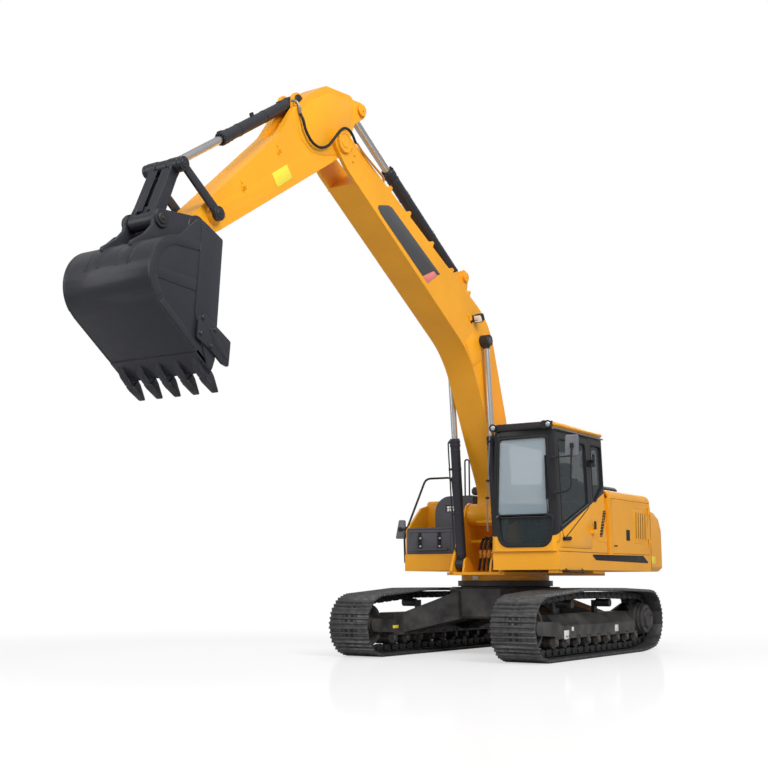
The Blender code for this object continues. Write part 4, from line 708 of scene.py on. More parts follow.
# Each form of a shoe and its two links stands at every joint of the chain
def makeTracks():
    joints = chainJoints()
    pitch = np.linalg.norm(joints[1] - joints[0])
    plate, heads, holes = shoeForm(pitch)
    space = track["linkSpace"] / 2
    links = joined(linkForm(pitch, space), linkForm(pitch, -space))
    # the holes take the dark hose rubber colour as painted shade
    parts = [(plate, "track_steel"), (heads, "bolt steel"), (holes, "hose rubber"), (links, "link steel")]
    onTracks(
        "TrackChain", [(alongChain(form, joints), finish) for form, finish in parts], "track_"
    )


# Profiles (distance, radius) turned about the axles; the tooth ring's radius swings between root and tip
def makeWheels():
    high = track["grouserHigh"]
    bend = math.pi * (idler["sweep"] - high) / track["shoes"] / 1.9
    rim = (idler["sweep"] - high - track["chainDeep"]) * math.cos(bend) - 0.003
    half = np.array([
        (
            0.028, rim + 0.026
        ), (0.042, rim + 0.022), (0.046, rim + 0.002), (0.050, rim), (0.094, rim), (0.098, rim - 0.006),
        (0.098, rim - 0.045), (0.090, rim - 0.055), (0.040, rim - 0.080), *idler["hub"],
    ])
    wheel = lathe(np.concatenate([half[::-1] * (-1, 1), half]), (idler["x"], 0, idler["z"]), (0, 1, 0), 72)
    studs = bothSides(bolts(onCircle(idler, 0.145, 0.034, turns(8)), (0, 1, 0), 0.010, 0.008))
    onTracks("IdlerWheel", [(wheel, "black_paint"), (studs, "bolt steel")], "idler_", True)
    root, tip = sprocket["root"], sprocket["sweep"] - high - track["plateThick"] - 0.045
    angle = turns(sprocket["teeth"] * 12)
    # flat roots, flat tips, sloping flanks
    wave = np.clip(0.5 + 0.75 * np.cos(angle * sprocket["teeth"]), 0, 1)
    radius = root + (tip - root) * wave * wave * (3 - 2 * wave)
    ring = np.stack([sprocket["x"] + radius * np.cos(angle), sprocket["z"] + radius * np.sin(angle)], -1)
    hub = lathe(sprocket["hub"], (sprocket["x"], 0, sprocket["z"]), (0, 1, 0), 72)
    studs = joined(
        bolts(onCircle(sprocket, 0.222, 0.038, turns(18)), (0, 1, 0), 0.011, 0.009),
        bolts(onCircle(sprocket, 0.174, 0.206, turns(18)[::2]), (0, 1, 0), 0.010, 0.008),
        bolts(onCircle(sprocket, 0.10, 0.249, (0.6, 2.7, 4.8)), (0, 1, 0), 0.012, 0.010),
    )
    parts = [(plank(ring, -0.026, 0.026, 0.005), "link steel"), (hub, "black_paint"), (studs, "bolt steel")]
    onTracks("DriveSprocket", parts, "sprocket_", True)


# Rollers under each track frame, with the collars and bolts that hold them to it
def makeRollers():
    half, rollerZ = roller["half"], track["grouserHigh"] + track["chainDeep"] + 0.0025 + 0.078
    tread = np.array(roller["tread"])
    profile = np.concatenate([tread[::-1] * (-1, 1), tread])
    spots = np.linspace(*roller["row"])
    collar = [(0.150, 0.040), (half + 0.006, 0.040), (half + 0.012, 0.034), (half + 0.012, 0.016)]
    rolls = joined(lathe(profile, (x, 0, rollerZ), (0, 1, 0), 28) for x in spots)
    collars = bothSides(joined(across((x, rollerZ), collar, 20) for x in spots))
    heads = bothSides(
        bolts([(x + dx, half, 0.288) for x in spots for dx in (-0.036, 0.036)], (0, 1, 0), 0.011, 0.010)
    )
    onTracks(
        "Rollers", [(rolls, "roller steel"), (collars, "black_paint"), (heads, "bolt steel")]
    )


makeTracks()
makeWheels()
makeRollers()
print("undercarriage made")


# Cylinders: from the foot pin to the rod's eye, in a frame whose x runs from one to the other
cylinders = {
    "boomCylinderLeft": {
        "foot": (0.72, 1.21), "y": 0.286, "barrel": 0.066, "rod": 0.042, "eye": 0.080, "half": 0.066,
        "long": 1.70, "stroke": 1.25, "pipes": (-62, -112), "eyeFinish": "black_paint",
    },
    "armCylinder": {
        "y": 0.0, "barrel": 0.078, "rod": 0.050, "eye": 0.085, "half": 0.082,
        "long": 2.02, "stroke": 1.56, "pipes": (0,), "eyeFinish": "slate_paint",
    },
    "bucketCylinder": {
        "y": 0.0, "barrel": 0.066, "rod": 0.042, "eye": 0.070, "half": 0.070,
        "long": 1.42, "stroke": 1.10, "pipes": (), "eyeFinish": "slate_paint",
    },
}
cylinders["boomCylinderRight"] = {**cylinders["boomCylinderLeft"], "y": -0.286, "pipes": (62, 112)}


# (c x - s y, s x + c y) for an angle in degrees
def turnedPoint(point, degrees):
    c, s = math.cos(math.radians(degrees)), math.sin(math.radians(degrees))
    return np.array((c * point[0] - s * point[1], s * point[0] + c * point[1]))


boomFoot, boomAngle, boomLong = np.array((0.31, 1.895)), 46.0, 5.72
armAngle, armLong = -33.8, 2.95
boomTip = boomFoot + turnedPoint((boomLong, 0), boomAngle)
armTip = boomTip + turnedPoint((armLong, 0), armAngle)
rockerFoot, rockerLong, linkLong = np.array((2.60, 0.02)), 0.64, 0.66
boomEye, crowdFoot = (2.142, 1.103), (2.95, 1.49)  # pins on the boom, in its own frame
crowdEye, curlFoot = (-0.66, 0.21), (0.46, 0.64)  # pins on the arm, in its own frame
earPin = armTip + turnedPoint((0.50, 0), -4.0)


# Where two bars of known length meet, on the left of the line between their far ends
def barsMeet(one, oneLong, other, otherLong):
    apart = np.linalg.norm(other - one)
    along = (oneLong**2 - otherLong**2 + apart**2) / (2 * apart)
    u = (other - one) / apart
    return one + along * u + math.sqrt(oneLong**2 - along**2) * np.array((-u[1], u[0]))


rockerPin = boomTip + turnedPoint(rockerFoot, armAngle)
rockerTop = barsMeet(rockerPin, rockerLong, earPin, linkLong)
for side in ("Left", "Right"):
    cylinders["boomCylinder" + side]["far"] = boomFoot + turnedPoint(boomEye, boomAngle)
cylinders["armCylinder"]["foot"] = boomFoot + turnedPoint(crowdFoot, boomAngle)
cylinders["armCylinder"]["far"] = boomTip + turnedPoint(crowdEye, armAngle)
cylinders["bucketCylinder"].update(foot=boomTip + turnedPoint(curlFoot, armAngle), far=rockerTop)


def rolled(form, degrees):  # turned about the cylinder's own axis
    c, s = math.cos(math.radians(degrees)), math.sin(math.radians(degrees))
    x, y, z = form[0].T
    return np.stack([x, c * y - s * z, s * y + c * z], -1), form[1]


# Profiles (distance from the foot pin, radius) turned about the line between the two pins
def makeCylinder(name, node):
    spec = cylinders[name]
    foot, far, y = np.array(spec["foot"]), np.array(spec["far"]), spec["y"]
    reach = float(np.linalg.norm(far - foot))
    tilt = math.degrees(math.atan2(far[1] - foot[1], far[0] - foot[0]))
    radius, long, half, eye, rod = spec["barrel"], spec["long"], spec["half"], spec["eye"], spec["rod"]
    head, top, fromEnd = radius + 0.007, radius + 0.030, reach - spec["stroke"]
    bands = [0.40 * long, 0.76 * long]
    body = [(0.06, radius * 0.55), (0.075, radius * 0.86), (0.105, radius * 0.96), (0.115, radius * 1.02)]
    body += [(0.128, radius * 1.02), (0.134, radius)]
    for at in bands:
        body += [
            (at + x, radius + rise) for x,
            rise in ((-0.014, 0), (-0.014, 0.0035), (0.014, 0.0035), (0.014, 0))
        ]
    body += [
        (long - 0.170, radius), (long - 0.166, radius + 0.004), (long - 0.158, radius + 0.004),
        (long - 0.154, radius)
    ]
    body += [(long - 0.105, radius), (long - 0.101, head), (long - 0.064, head), (long - 0.060, head - 0.004)]
    body += [
        (long - 0.054, head - 0.004), (long - 0.050, head), (long - 0.014, head), (long - 0.008, head - 0.006)
    ]
    body += [
        (long, radius * 0.80), (long + 0.004, rod + 0.010), (long - 0.006, rod + 0.002), (0.15, rod + 0.002)
    ]
    shape = lambda profile, sides: lathe(profile, (0, y, 0), (1, 0, 0), sides)
    eyeRing = [(-half, eye * 0.55), (-half, eye - 0.006), (-half + 0.006, eye)]
    eyeRing += [(-at, size) for at, size in eyeRing[::-1]]
    eyeForm = shifted(across((0, 0), eyeRing, 48), 0, y, 0)
    bar = shape([(fromEnd - 0.30, rod * 0.8), (fromEnd - 0.29, rod), (reach - eye - 0.022, rod)], 64)
    neck = [(reach - eye - 0.030, rod + 0.001), (reach - eye - 0.024, rod + 0.007)]
    neck = shape(neck + [(reach - eye * 0.80, rod + 0.012), (reach - eye * 0.5, rod + 0.018)], 40)
    pins = shifted(across((0, 0), [(-half - 0.003, eye * 0.50), (half + 0.003, eye * 0.50)], 32), 0, y, 0)
    end = joined(
        block((0.165, 0.235), (-0.024, 0.024), (radius * 0.7, radius + 0.010), 0.005),
        block((long - 0.055, long - 0.008), (-0.020, 0.020), (radius * 0.7, radius + 0.016), 0.005),
    )
    if spec["pipes"]:
        path = [(0.20, 0, radius * 0.8), (0.20, 0, top), (long - 0.14, 0, top)]
        path += [(long - 0.03, 0, top * 0.98), (long - 0.03, 0, radius * 0.8)]
        holders = joined(
            block((x - 0.016, x + 0.016), (-0.017, 0.017), (radius - 0.006, top + 0.012), 0.004)
            for x in bands
        )
        line = joined(tube(rounded(path, 0.03, 5, False), 0.010, 12), holders, end)
        gear = joined(rolled(line, turn) for turn in spec["pipes"])
    else:
        port = long * 0.52
        gear = joined(
            block((port, port + 0.05), (-0.012, 0.012), (radius - 0.004, radius + 0.030), 0.004),
            block((port + 0.01, port + 0.03), (-0.02, 0.02), (radius + 0.020, radius + 0.036), 0.003), end,
        )
    inner = radius - 0.006
    ring = bolts(
        [(long - 0.002, inner * math.cos(a), inner * math.sin(a)) for a in turns(12)], (1, 0, 0), 0.008, 0.012
    )
    move = lambda form: placed(form, foot, tilt)
    parts = [
        (joined(shape(body, 64), eyeForm), "slate_paint"),
        (shifted(joined(gear, ring), 0, y, 0), "slate_paint")
    ]
    piece(
        name + "Tube", parts + [(pins, "pin steel")], node + "_barrel", (node + "_barrel",),
        32, move
    )
    parts = [(bar, "chrome"), (joined(neck, shifted(eyeForm, reach, 0, 0)), spec["eyeFinish"])]
    parts += [(shifted(pins, reach, 0, 0), "pin steel")]
    piece(name + "Piston", parts, node + "_rod", (node + "_rod",), 32, move)


for side in ("Left", "Right"):
    makeCylinder("boomCylinder" + side, "boom_cylinder_" + side.lower())
makeCylinder("armCylinder", "arm_cylinder")
makeCylinder("bucketCylinder", "bucket_cylinder")
print("cylinders made")


# A path and its copy moved sideways by thick make the outline of a band; thick > 0 lies left of the path
def band(path, thick):
    path = np.array(path, float)
    step = unit(np.diff(path, axis=0))
    normal = np.stack([-step[:, 1], step[:, 0]], -1)
    corner = np.concatenate([normal[:1], normal[:-1] + normal[1:], normal[-1:]])
    corner[1:-1] /= np.maximum(1 + (normal[:-1] * normal[1:]).sum(-1, keepdims=True), 0.35)
    return np.concatenate([path, (path + corner * thick)[::-1]])


# A bar of soft-cornered sections (distance, rise, half width, half height) strung along a slanted line
def taperedBar(start, toward, sections, points=20, square=0.36):
    a = turns(points)
    wide = np.sign(np.cos(a)) * np.abs(np.cos(a)) ** square
    tall = np.sign(np.sin(a)) * np.abs(np.sin(a)) ** square
    along = unit(np.array(toward, float))
    rise = np.array((-along[2], 0.0, along[0]))
    rows = np.array(sections, float)
    spine = np.array(start, float) + rows[:, :1] * along + rows[:, 1:2] * rise
    ring = rows[
        :, 2, None, None
    ] * wide[None, :, None] * np.array((0, 1, 0)) + rows[:, 3, None, None] * tall[None, :, None] * rise
    return surface(spine[:, None] + ring)


# Bucket, in the machine's axes from the bucket pin
bucket = {
    "half": 0.55, "wall": 0.028, "heel": (0.60, -0.66), "heelRadius": 0.38, "lip": (0.14, -1.47),
    "slope": (0.806, 0.592), "teeth": (
        -0.47, -0.235, 0.0, 0.235, 0.47
    ), "earY": (0.165, 0.205), "rim": 0.105, "layer": 0.010,
}


# The floor is an arc about the heel carried across; sides, ears and strips are plates between two y
def makeBucket():
    half, wall, layer = bucket["half"], bucket["wall"], bucket["layer"]
    heel, heelRadius, lip = np.array(bucket["heel"]), bucket["heelRadius"], np.array(bucket["lip"])
    forward = np.array(bucket["slope"])
    wrap = arc(heel, heelRadius, math.degrees(math.atan2(*forward[::-1])) - 90, 90, 44)
    over = rounded([wrap[-1], (0.42, -0.235), (0.05, -0.34)], 0.10, 6, False)
    profile = np.concatenate([[lip], wrap, over[1:]])
    shell = plank(band(profile, wall), -half + wall - 0.004, half - wall + 0.004, 0.003)
    shoulder = rounded([(0.62, -0.29), (0.36, -0.06), (0.29, -0.06), (0.02, -0.18)], 0.03, 3, False)
    sideLine = np.concatenate([[lip], wrap[:-6], shoulder, [(0.095, -1.36)]])
    side = plank(sideLine, half - wall, half, 0.003)
    frontStrip = roundPlate(
        [
            (0.022, -0.185), (0.29, -0.068), (0.315, -0.10), (0.385, -0.96), (0.20, -1.445), (0.135, -1.455),
            (0.10, -1.36)
        ], 0.02, 3, half - 0.002, half + layer, 0.003
    )
    rimPath = np.concatenate([wrap[4:], [(0.33, -0.268)]])
    rim = plank(band(rimPath, bucket["rim"] * 0.9), half - 0.002, half + layer * 0.7, 0.003)
    strap = roundPlate(
        [(0.37, -0.755), (0.37, -0.645), (0.88, -0.625), (0.88, -0.73)], 0.01, 2, half - 0.002,
        half + layer * 0.7, 0.003
    )
    lowStrip = plank(band([(0.385, -1.285), (0.84, -0.951)], 0.07), half - 0.002, half + layer * 0.7, 0.003)
    cutterLine = rounded(
        [
            (0.289, -0.946, 0.03), (-0.095, -1.158, 0.02), (-0.070, -1.405, 0.02), (0.02, -1.385, 0.03),
            (0.19, -1.275, 0.05), (0.376, -1.192, 0.02), (0.363, -1.018, 0.04)
        ], None, 4
    )
    cutter = plank(cutterLine, half + 0.006, half + 0.034, 0.004)
    cutterRib = roundPlate(
        [(0.245, -1.045), (0.14, -1.105), (-0.055, -1.31), (-0.035, -1.345), (0.12, -1.235)], 0.02, 3,
        half + 0.03, half + 0.040, 0.004
    )
    cutterBolts = bolts(
        [
            (u, half + 0.034, v) for u,
            v in ((0.307, -0.995), (0.138, -1.085), (0.33, -1.145), (0.185, -1.245))
        ], (0, 1, 0), 0.020, 0.018
    )
    edge = plank(
        band([lip + (0.004, -0.006), lip + 0.26 * forward + (0.004, -0.006)], 0.044), -half, half, 0.006
    )
    topBox = roundPlate(
        [(0.05, -0.338), (0.36, -0.245), (0.34, -0.16), (0.10, -0.20)], 0.03, 4, -half + wall, half - wall,
        0.004
    )
    wear = [(20, 43, 0.10, 0.30), (20, 43, -0.30, -0.10), (6, 18, -half + 0.02, half - 0.02)]
    wear += [(16, 40, -0.264, -0.256), (16, 40, 0.256, 0.264)]
    pads = joined(plank(band(wrap[first:last], -0.001), y0, y1, 0.0004) for first, last, y0, y1 in wear)
    ear = turnedPoint((0.50, 0), -4.0)
    earLine = np.concatenate([
        arc((0, 0), 0.112, 78, 205, 16),
        [(-0.03, -0.24)],
        rounded(
            [(0.03, -0.345), (0.50, -0.34), (0.80, -0.42), (0.905, -0.36), (0.70, -0.225), (0.605, -0.12)],
            0.10, 6, False
        ),
        arc(ear, 0.100, -20, 96, 14),
    ])
    ears = plank(earLine, *bucket["earY"], 0.006)
    bosses = joined(
        across(
            (0, 0),
            [(0.160, 0.10), (0.160, 0.118), (0.170, 0.122), (0.206, 0.122), (0.209, 0.118), (0.209, 0.06)], 48
        ),
        across(ear, [(0.160, 0.06), (0.205, 0.094), (0.222, 0.090), (0.226, 0.086), (0.226, 0.05)], 40),
    )
    caps = joined(
        across(ear, [(0.224, 0.056), (0.234, 0.056), (0.238, 0.050)], 32),
        hexHead(ear, 0.236, 0.246, 0.022),
    )
    gusset = roundPlate(
        [(0.13, -0.20), (0.33, -0.16), (0.46, -0.20), (0.44, -0.245), (0.12, -0.30)], 0.02, 3, 0.30, 0.33,
        0.004
    )
    toward = unit(np.array((-0.17, 0.0, -0.17)))
    teeth, adapters = [], []
    for y in bucket["teeth"]:
        root = np.array((lip[0] + 0.115, y, lip[1] + 0.105))
        adapters.append(
            taperedBar(
                root, toward,
                [
                    (-0.075, 0.0, 0.040, 0.016), (-0.02, 0.0, 0.046, 0.040), (0.06, 0.0, 0.050, 0.062),
                    (0.16, -0.002, 0.049, 0.060), (0.185, -0.002, 0.042, 0.050)
                ]
            )
        )
        teeth.append(
            taperedBar(
                root, toward,
                [
                    (0.178, 0.0, 0.050, 0.050), (0.182, 0.0, 0.0545, 0.0555), (0.235, 0.0, 0.054, 0.050),
                    (0.30, 0.001, 0.048, 0.032), (0.365, 0.002, 0.041, 0.015), (0.388, 0.002, 0.036, 0.006)
                ]
            )
        )
        pin = (root + 0.11 * toward)[[0, 2]]
        adapters += [across(pin, [(y + s * 0.048, 0.018), (y + s * 0.054, 0.016)], 12) for s in (-1, 1)]
    out = np.array((math.cos(1.25), 0, math.sin(1.25)))
    holes = []
    for y in (-0.07, 0.07):
        spot = np.array((heel[0], y, heel[1])) + heelRadius * out
        holes.append(lathe([(0, 0.020), (0.008, 0.018), (0.008, 0.010)], spot, out, 18))
    seam = band(wrap, 0.007)[len(wrap):][::-1]
    weld = tube(
        np.stack([seam[:, 0], np.full(len(seam), half - wall - 0.002), seam[:, 1]], -1)[::2], 0.006, 6
    )
    outer = bothSides(
        joined(side, frontStrip, rim, strap, lowStrip, cutter, cutterRib, ears, bosses, gusset, weld)
    )
    parts = [
        (joined(shell, outer, topBox, pads, edge, adapters), "slate_paint"), (joined(teeth), "tooth steel")
    ]
    parts += [(joined(bothSides(joined(cutterBolts, caps)), holes), "bolt steel")]
    move = lambda form: shifted(form, armTip[0], 0, armTip[1])
    piece("diggingBucket", parts, "bucket", ("bucket",), 30, move)


# Rockers and the link between them and the bucket
linkage = {"rockerY": (0.210, 0.240), "linkY": (0.095, 0.150)}


# Rockers: a band round two circles with a boss at each end. Link: two plates, a boss, a tube and two webs
def makeLinkage():
    low, high = linkage["rockerY"]
    bar = plank(belt([(0, 0, 0.052), (rockerLong, 0, 0.044)], 64), low, high, 0.005)
    ends, caps, heads = [], [], []
    for u, size in ((0, 0.075), (rockerLong, 0.070)):
        boss = [
            (low - 0.004, 0.05), (low, size), (high + 0.008, size), (high + 0.012, size - 0.004),
            (high + 0.012, 0.04)
        ]
        ends.append(across((u, 0), boss, 40))
        caps.append(across((u, 0), [(high + 0.010, 0.048), (high + 0.018, 0.048), (high + 0.022, 0.043)], 32))
        heads.append(hexHead((u, 0), high + 0.020, high + 0.030, 0.015))
    tilt = math.degrees(math.atan2(*(rockerTop - rockerPin)[::-1]))
    for side in ("left", "right"):
        move = lambda form: placed(form if side == "left" else mirroredY(form), rockerPin, tilt)
        parts = [(joined(bar, ends, caps), "slate_paint"), (joined(heads), "bolt steel")]
        piece(side + "RockerBar", parts, "rocker", ("rocker_" + side,), 32, move)
    y0, y1 = linkage["linkY"]
    outline = np.concatenate([
        arc((0, 0), 0.072, 100, 260, 14), [(0.12, -0.058), (linkLong - 0.16, -0.066)],
        arc((linkLong, 0), 0.080, -95, 95, 16), [(linkLong - 0.16, 0.066), (0.12, 0.058)],
    ])
    flange = [(0.07, 0.046), (linkLong - 0.09, 0.052), (linkLong - 0.09, 0.062), (0.07, 0.058)]
    topBoss = [
        (0.076, 0.05), (0.076, 0.068), (0.082, 0.075), (0.200, 0.075), (0.2075, 0.070), (0.2085, 0.045)
    ]
    outer = joined(
        plank(outline, y0, y1, 0.006), across((0, 0), topBoss, 44), plank(flange, 0.030, y0 + 0.01, 0.003),
        plank([(u, -v) for u, v in flange], 0.030, y0 + 0.01, 0.003),
    )
    lowTube = [
        (-0.162, 0.05), (-0.162, 0.074), (-0.156, 0.080), (0.156, 0.080), (0.162, 0.074), (0.162, 0.05)
    ]
    webs = [
        (0.20, -0.020), (0.46, -0.024), (0.46, 0.024), (0.20, 0.020)
    ], rect(linkLong - 0.16, linkLong - 0.06, -0.045, 0.045)
    webs = joined(roundPlate(web, 0.01, 3, -y0 - 0.01, y0 + 0.01, 0.004) for web in webs)
    nipple = [(0, 0.010), (0.016, 0.008), (0.022, 0.005)]
    nipples = joined(
        lathe(nipple, (u, y, 0.060), (0, 0, 1), 10) for u, y in ((0.07, 0.12), (linkLong - 0.08, -0.12))
    )
    parts = [
        (joined(bothSides(outer), across((linkLong, 0), lowTube, 48), webs), "slate_paint"),
        (nipples, "bolt steel")
    ]
    tilt = math.degrees(math.atan2(*(earPin - rockerTop)[::-1]))
    move = lambda form: placed(form, rockerTop, tilt)
    piece("bucketLink", parts, "h_link", ("h_link",), 32, move)


makeBucket()
makeLinkage()
print("bucket and linkage made")


# Faces of a softened copy leave where their centres (x from the slew axis, y, z) pass the test
def dropFaces(made, test):
    flat = np.zeros(len(made.data.polygons) * 3)
    made.data.polygons.foreach_get("center", flat)
    gone = test(flat.reshape(-1, 3) - (slewX, 0, 0))
    work = bmesh.new()
    work.from_mesh(made.data)
    work.faces.ensure_lookup_table()
    bmesh.ops.delete(work, geom=[work.faces[k] for k in np.flatnonzero(gone)], context="FACES")
    work.to_mesh(made.data)
    work.free()


# Machine coordinates turned into a bar's own frame: (u, y, v), u along the bar from its foot
def inBar(centres, origin, degrees):
    flat = centres[:, [0, 2]] - np.array(origin)
    c, s = math.cos(math.radians(degrees)), math.sin(math.radians(degrees))
    return np.stack([c * flat[:, 0] + s * flat[:, 1], centres[:, 1], -s * flat[:, 0] + c * flat[:, 1]], -1)


# Cubic through the points. On each stretch, twice the point is
# 2 p1 + (p2 - p0) t + (2 p0 - 5 p1 + 4 p2 - p3) t^2 + (3 p1 - p0 - 3 p2 + p3) t^3
def smoothPath(points, steps=8):
    points = np.array(points, float)
    points = np.concatenate([[2 * points[0] - points[1]], points, [2 * points[-1] - points[-2]]])
    p0, p1, p2, p3 = points[:-3, None], points[1:-2, None], points[2:-1, None], points[3:, None]
    t = np.linspace(0, 1, steps, endpoint=False)[None, :, None]
    curve = (
        2 * p1 + (p2 - p0) * t + (2 * p0 - 5 * p1 + 4 * p2 - p3) * t**2 + (3 * p1 - p0 - 3 * p2 + p3) * t**3
    ) / 2
    return np.concatenate([curve.reshape(-1, points.shape[1]), points[-2:-1]])


# A hose: a tube of the given diameter along a smoothed path in the machine's axes; with a joint its transform is
# baked into the mesh
def hose(name, path, diameter, body, joint=None):
    path = smoothPath(path)
    made = piece(
        name, [(tube(path, diameter / 2, 12, (0.13, 0.31, 0.94)), "hose rubber")], body, (),
        32
    )
    if joint:
        start, end = [tuple(np.array(point) + (slewX, 0, 0)) for point in joint[2:]]
        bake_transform(made)
    world = path + np.array((slewX, 0, 0))


# A round cap over a pin on both sides, its edge softened by 4 mm, with a six-sided head
def pinCap(at, low, high, radius, head):
    cap = [(low, radius), (high - 0.004, radius), (high, radius - 0.005), (high, 0.03)]
    return bothSides(joined(across(at, cap, 32), hexHead(at, high - 0.001, high + head, 0.018)))


# Arm details, in the arm's own frame from the pin at the boom's tip
arm = {
    "half": 0.16, "hoseSize": 0.032,
    "label": [(1.448, 0.087), (1.137, 0.094), (1.121, -0.069), (1.437, -0.078)],
    "clips": [(1.20, 0.29, -65), (2.00, 0.135, -70)],
}


# Fittings as plates and caps on the arm's sides; the hose's path is turned with the arm and boom
def makeArm():
    softened("arm", "soft.arm", "orange_paint", 0.006)
    half = arm["half"]
    label = plank(arm["label"], half + 0.0005, half + 0.0035, 0.0005)
    clips = []
    for u, v, turn in arm["clips"]:
        foot = plank(rect(-0.055, 0.055, -0.014, 0.014), half - 0.002, half + 0.006, 0.001)
        stand = plank(rect(0.012, 0.052, -0.014, -0.006), half, half + 0.045, 0.001)
        head = across((-0.03, 0), [(half + 0.004, 0.011), (half + 0.014, 0.010)], 6)
        clips.append(placed(joined(foot, stand, head), (u, v), turn))
    nose = across((2.44, -0.018), [(half - 0.002, 0.040), (half + 0.012, 0.038)], 24)
    nose = joined(nose, hexHead((2.44, -0.018), half + 0.010, half + 0.022, 0.016))
    pad = rounded(
        [
            (0.60, 0.52), (0.70, 0.40), (0.72, 0.26), (0.62, 0.08), (0.42, -0.02), (0.16, -0.10),
            (-0.06, -0.13), (-0.30, 0.10), (-0.52, 0.28), (-0.46, 0.40), (-0.10, 0.58), (0.36, 0.60)
        ], 0.10, 5
    )
    pad = plank(pad, half - 0.002, half + 0.004, 0.004)
    eyeCap = pinCap(crowdEye, half + 0.016, half + 0.034, 0.075, 0.009)
    curlCap = pinCap(curlFoot, 0.112, 0.130, 0.07, 0.008)
    tipBoss = across((armLong, 0), [(0.155, 0.10), (0.1632, 0.098)], 40)
    foot = across(rockerFoot, [(0.158, 0.10), (0.175, 0.095), (0.200, 0.082), (0.2065, 0.078)], 40)
    orange = joined(bothSides(joined(pad, nose, tipBoss, foot)), clips)
    elbow = [(0.545, 0.085, 0.672), (0.575, 0.165, 0.655), (0.585, 0.184, 0.600), (0.603, 0.184, 0.535)]
    nut = [(0, 0.019), (0.026, 0.019), (0.030, 0.0175), (0.075, 0.0175)]
    nut = lathe(nut, (0.590, 0.184, 0.590), (0.20, 0, -1.0), 16)
    fitting = joined(tube(rounded(elbow, 0.03, 5, False), 0.014, 14), nut)
    parts = [(joined(orange, eyeCap), "orange_paint"), (label, "pale yellow"), (curlCap, "black_paint")]
    move = lambda form: placed(form, boomTip, armAngle)
    piece("armFittings", parts + [(fitting, "pipe steel")], "arm", (), 30, move)
    top = half + 0.045
    inArm = [
        (0.607, top - 0.021, 0.520), (0.626, top, 0.444), (0.640, top, 0.321), (0.596, top, 0.180),
        (0.480, top, 0.082), (0.310, top + 0.005, 0.058), (0.150, top + 0.02, 0.105),
        (0.00, top + 0.04, 0.150), (-0.11, top + 0.04, 0.128), (-0.20, top + 0.025, 0.048)
    ]
    flat = np.array(inArm)
    x, z = boomTip[:, None] + turnedPoint((flat[:, 0], flat[:, 2]), armAngle)
    path = np.stack([x, flat[:, 1], z], -1)
    tail = boomFoot + turnedPoint((5.590, 0.240), boomAngle)
    path = np.concatenate([path, [(tail[0], 0.206, tail[1])]])
    hose("bucketHose", path, arm["hoseSize"], None, ("boom", "arm", path[-2], path[3]))


# Boom details, in the boom's own frame from its foot pin
boom = {
    "half": 0.21, "pipes": ((0.186, 0.016), (0.146, 0.016), (-0.150, 0.016), (-0.186, 0.016)),
    "clamps": (4.80, 4.35, 3.78, 3.25, 2.78), "pipesEnd": 4.90,
    "decal": [
        (4.800, 0.150), (4.690, 0.345), (4.629, 0.395), (3.403, 0.812), (3.433, 0.742), (3.521, 0.704),
        (3.620, 0.418), (4.700, 0.112), (4.785, 0.112)
    ],
    "decalTail": [(3.612, 0.421), (3.485, 0.462), (3.427, 0.735), (3.515, 0.703)], "lamp": (2.475, 1.150),
}


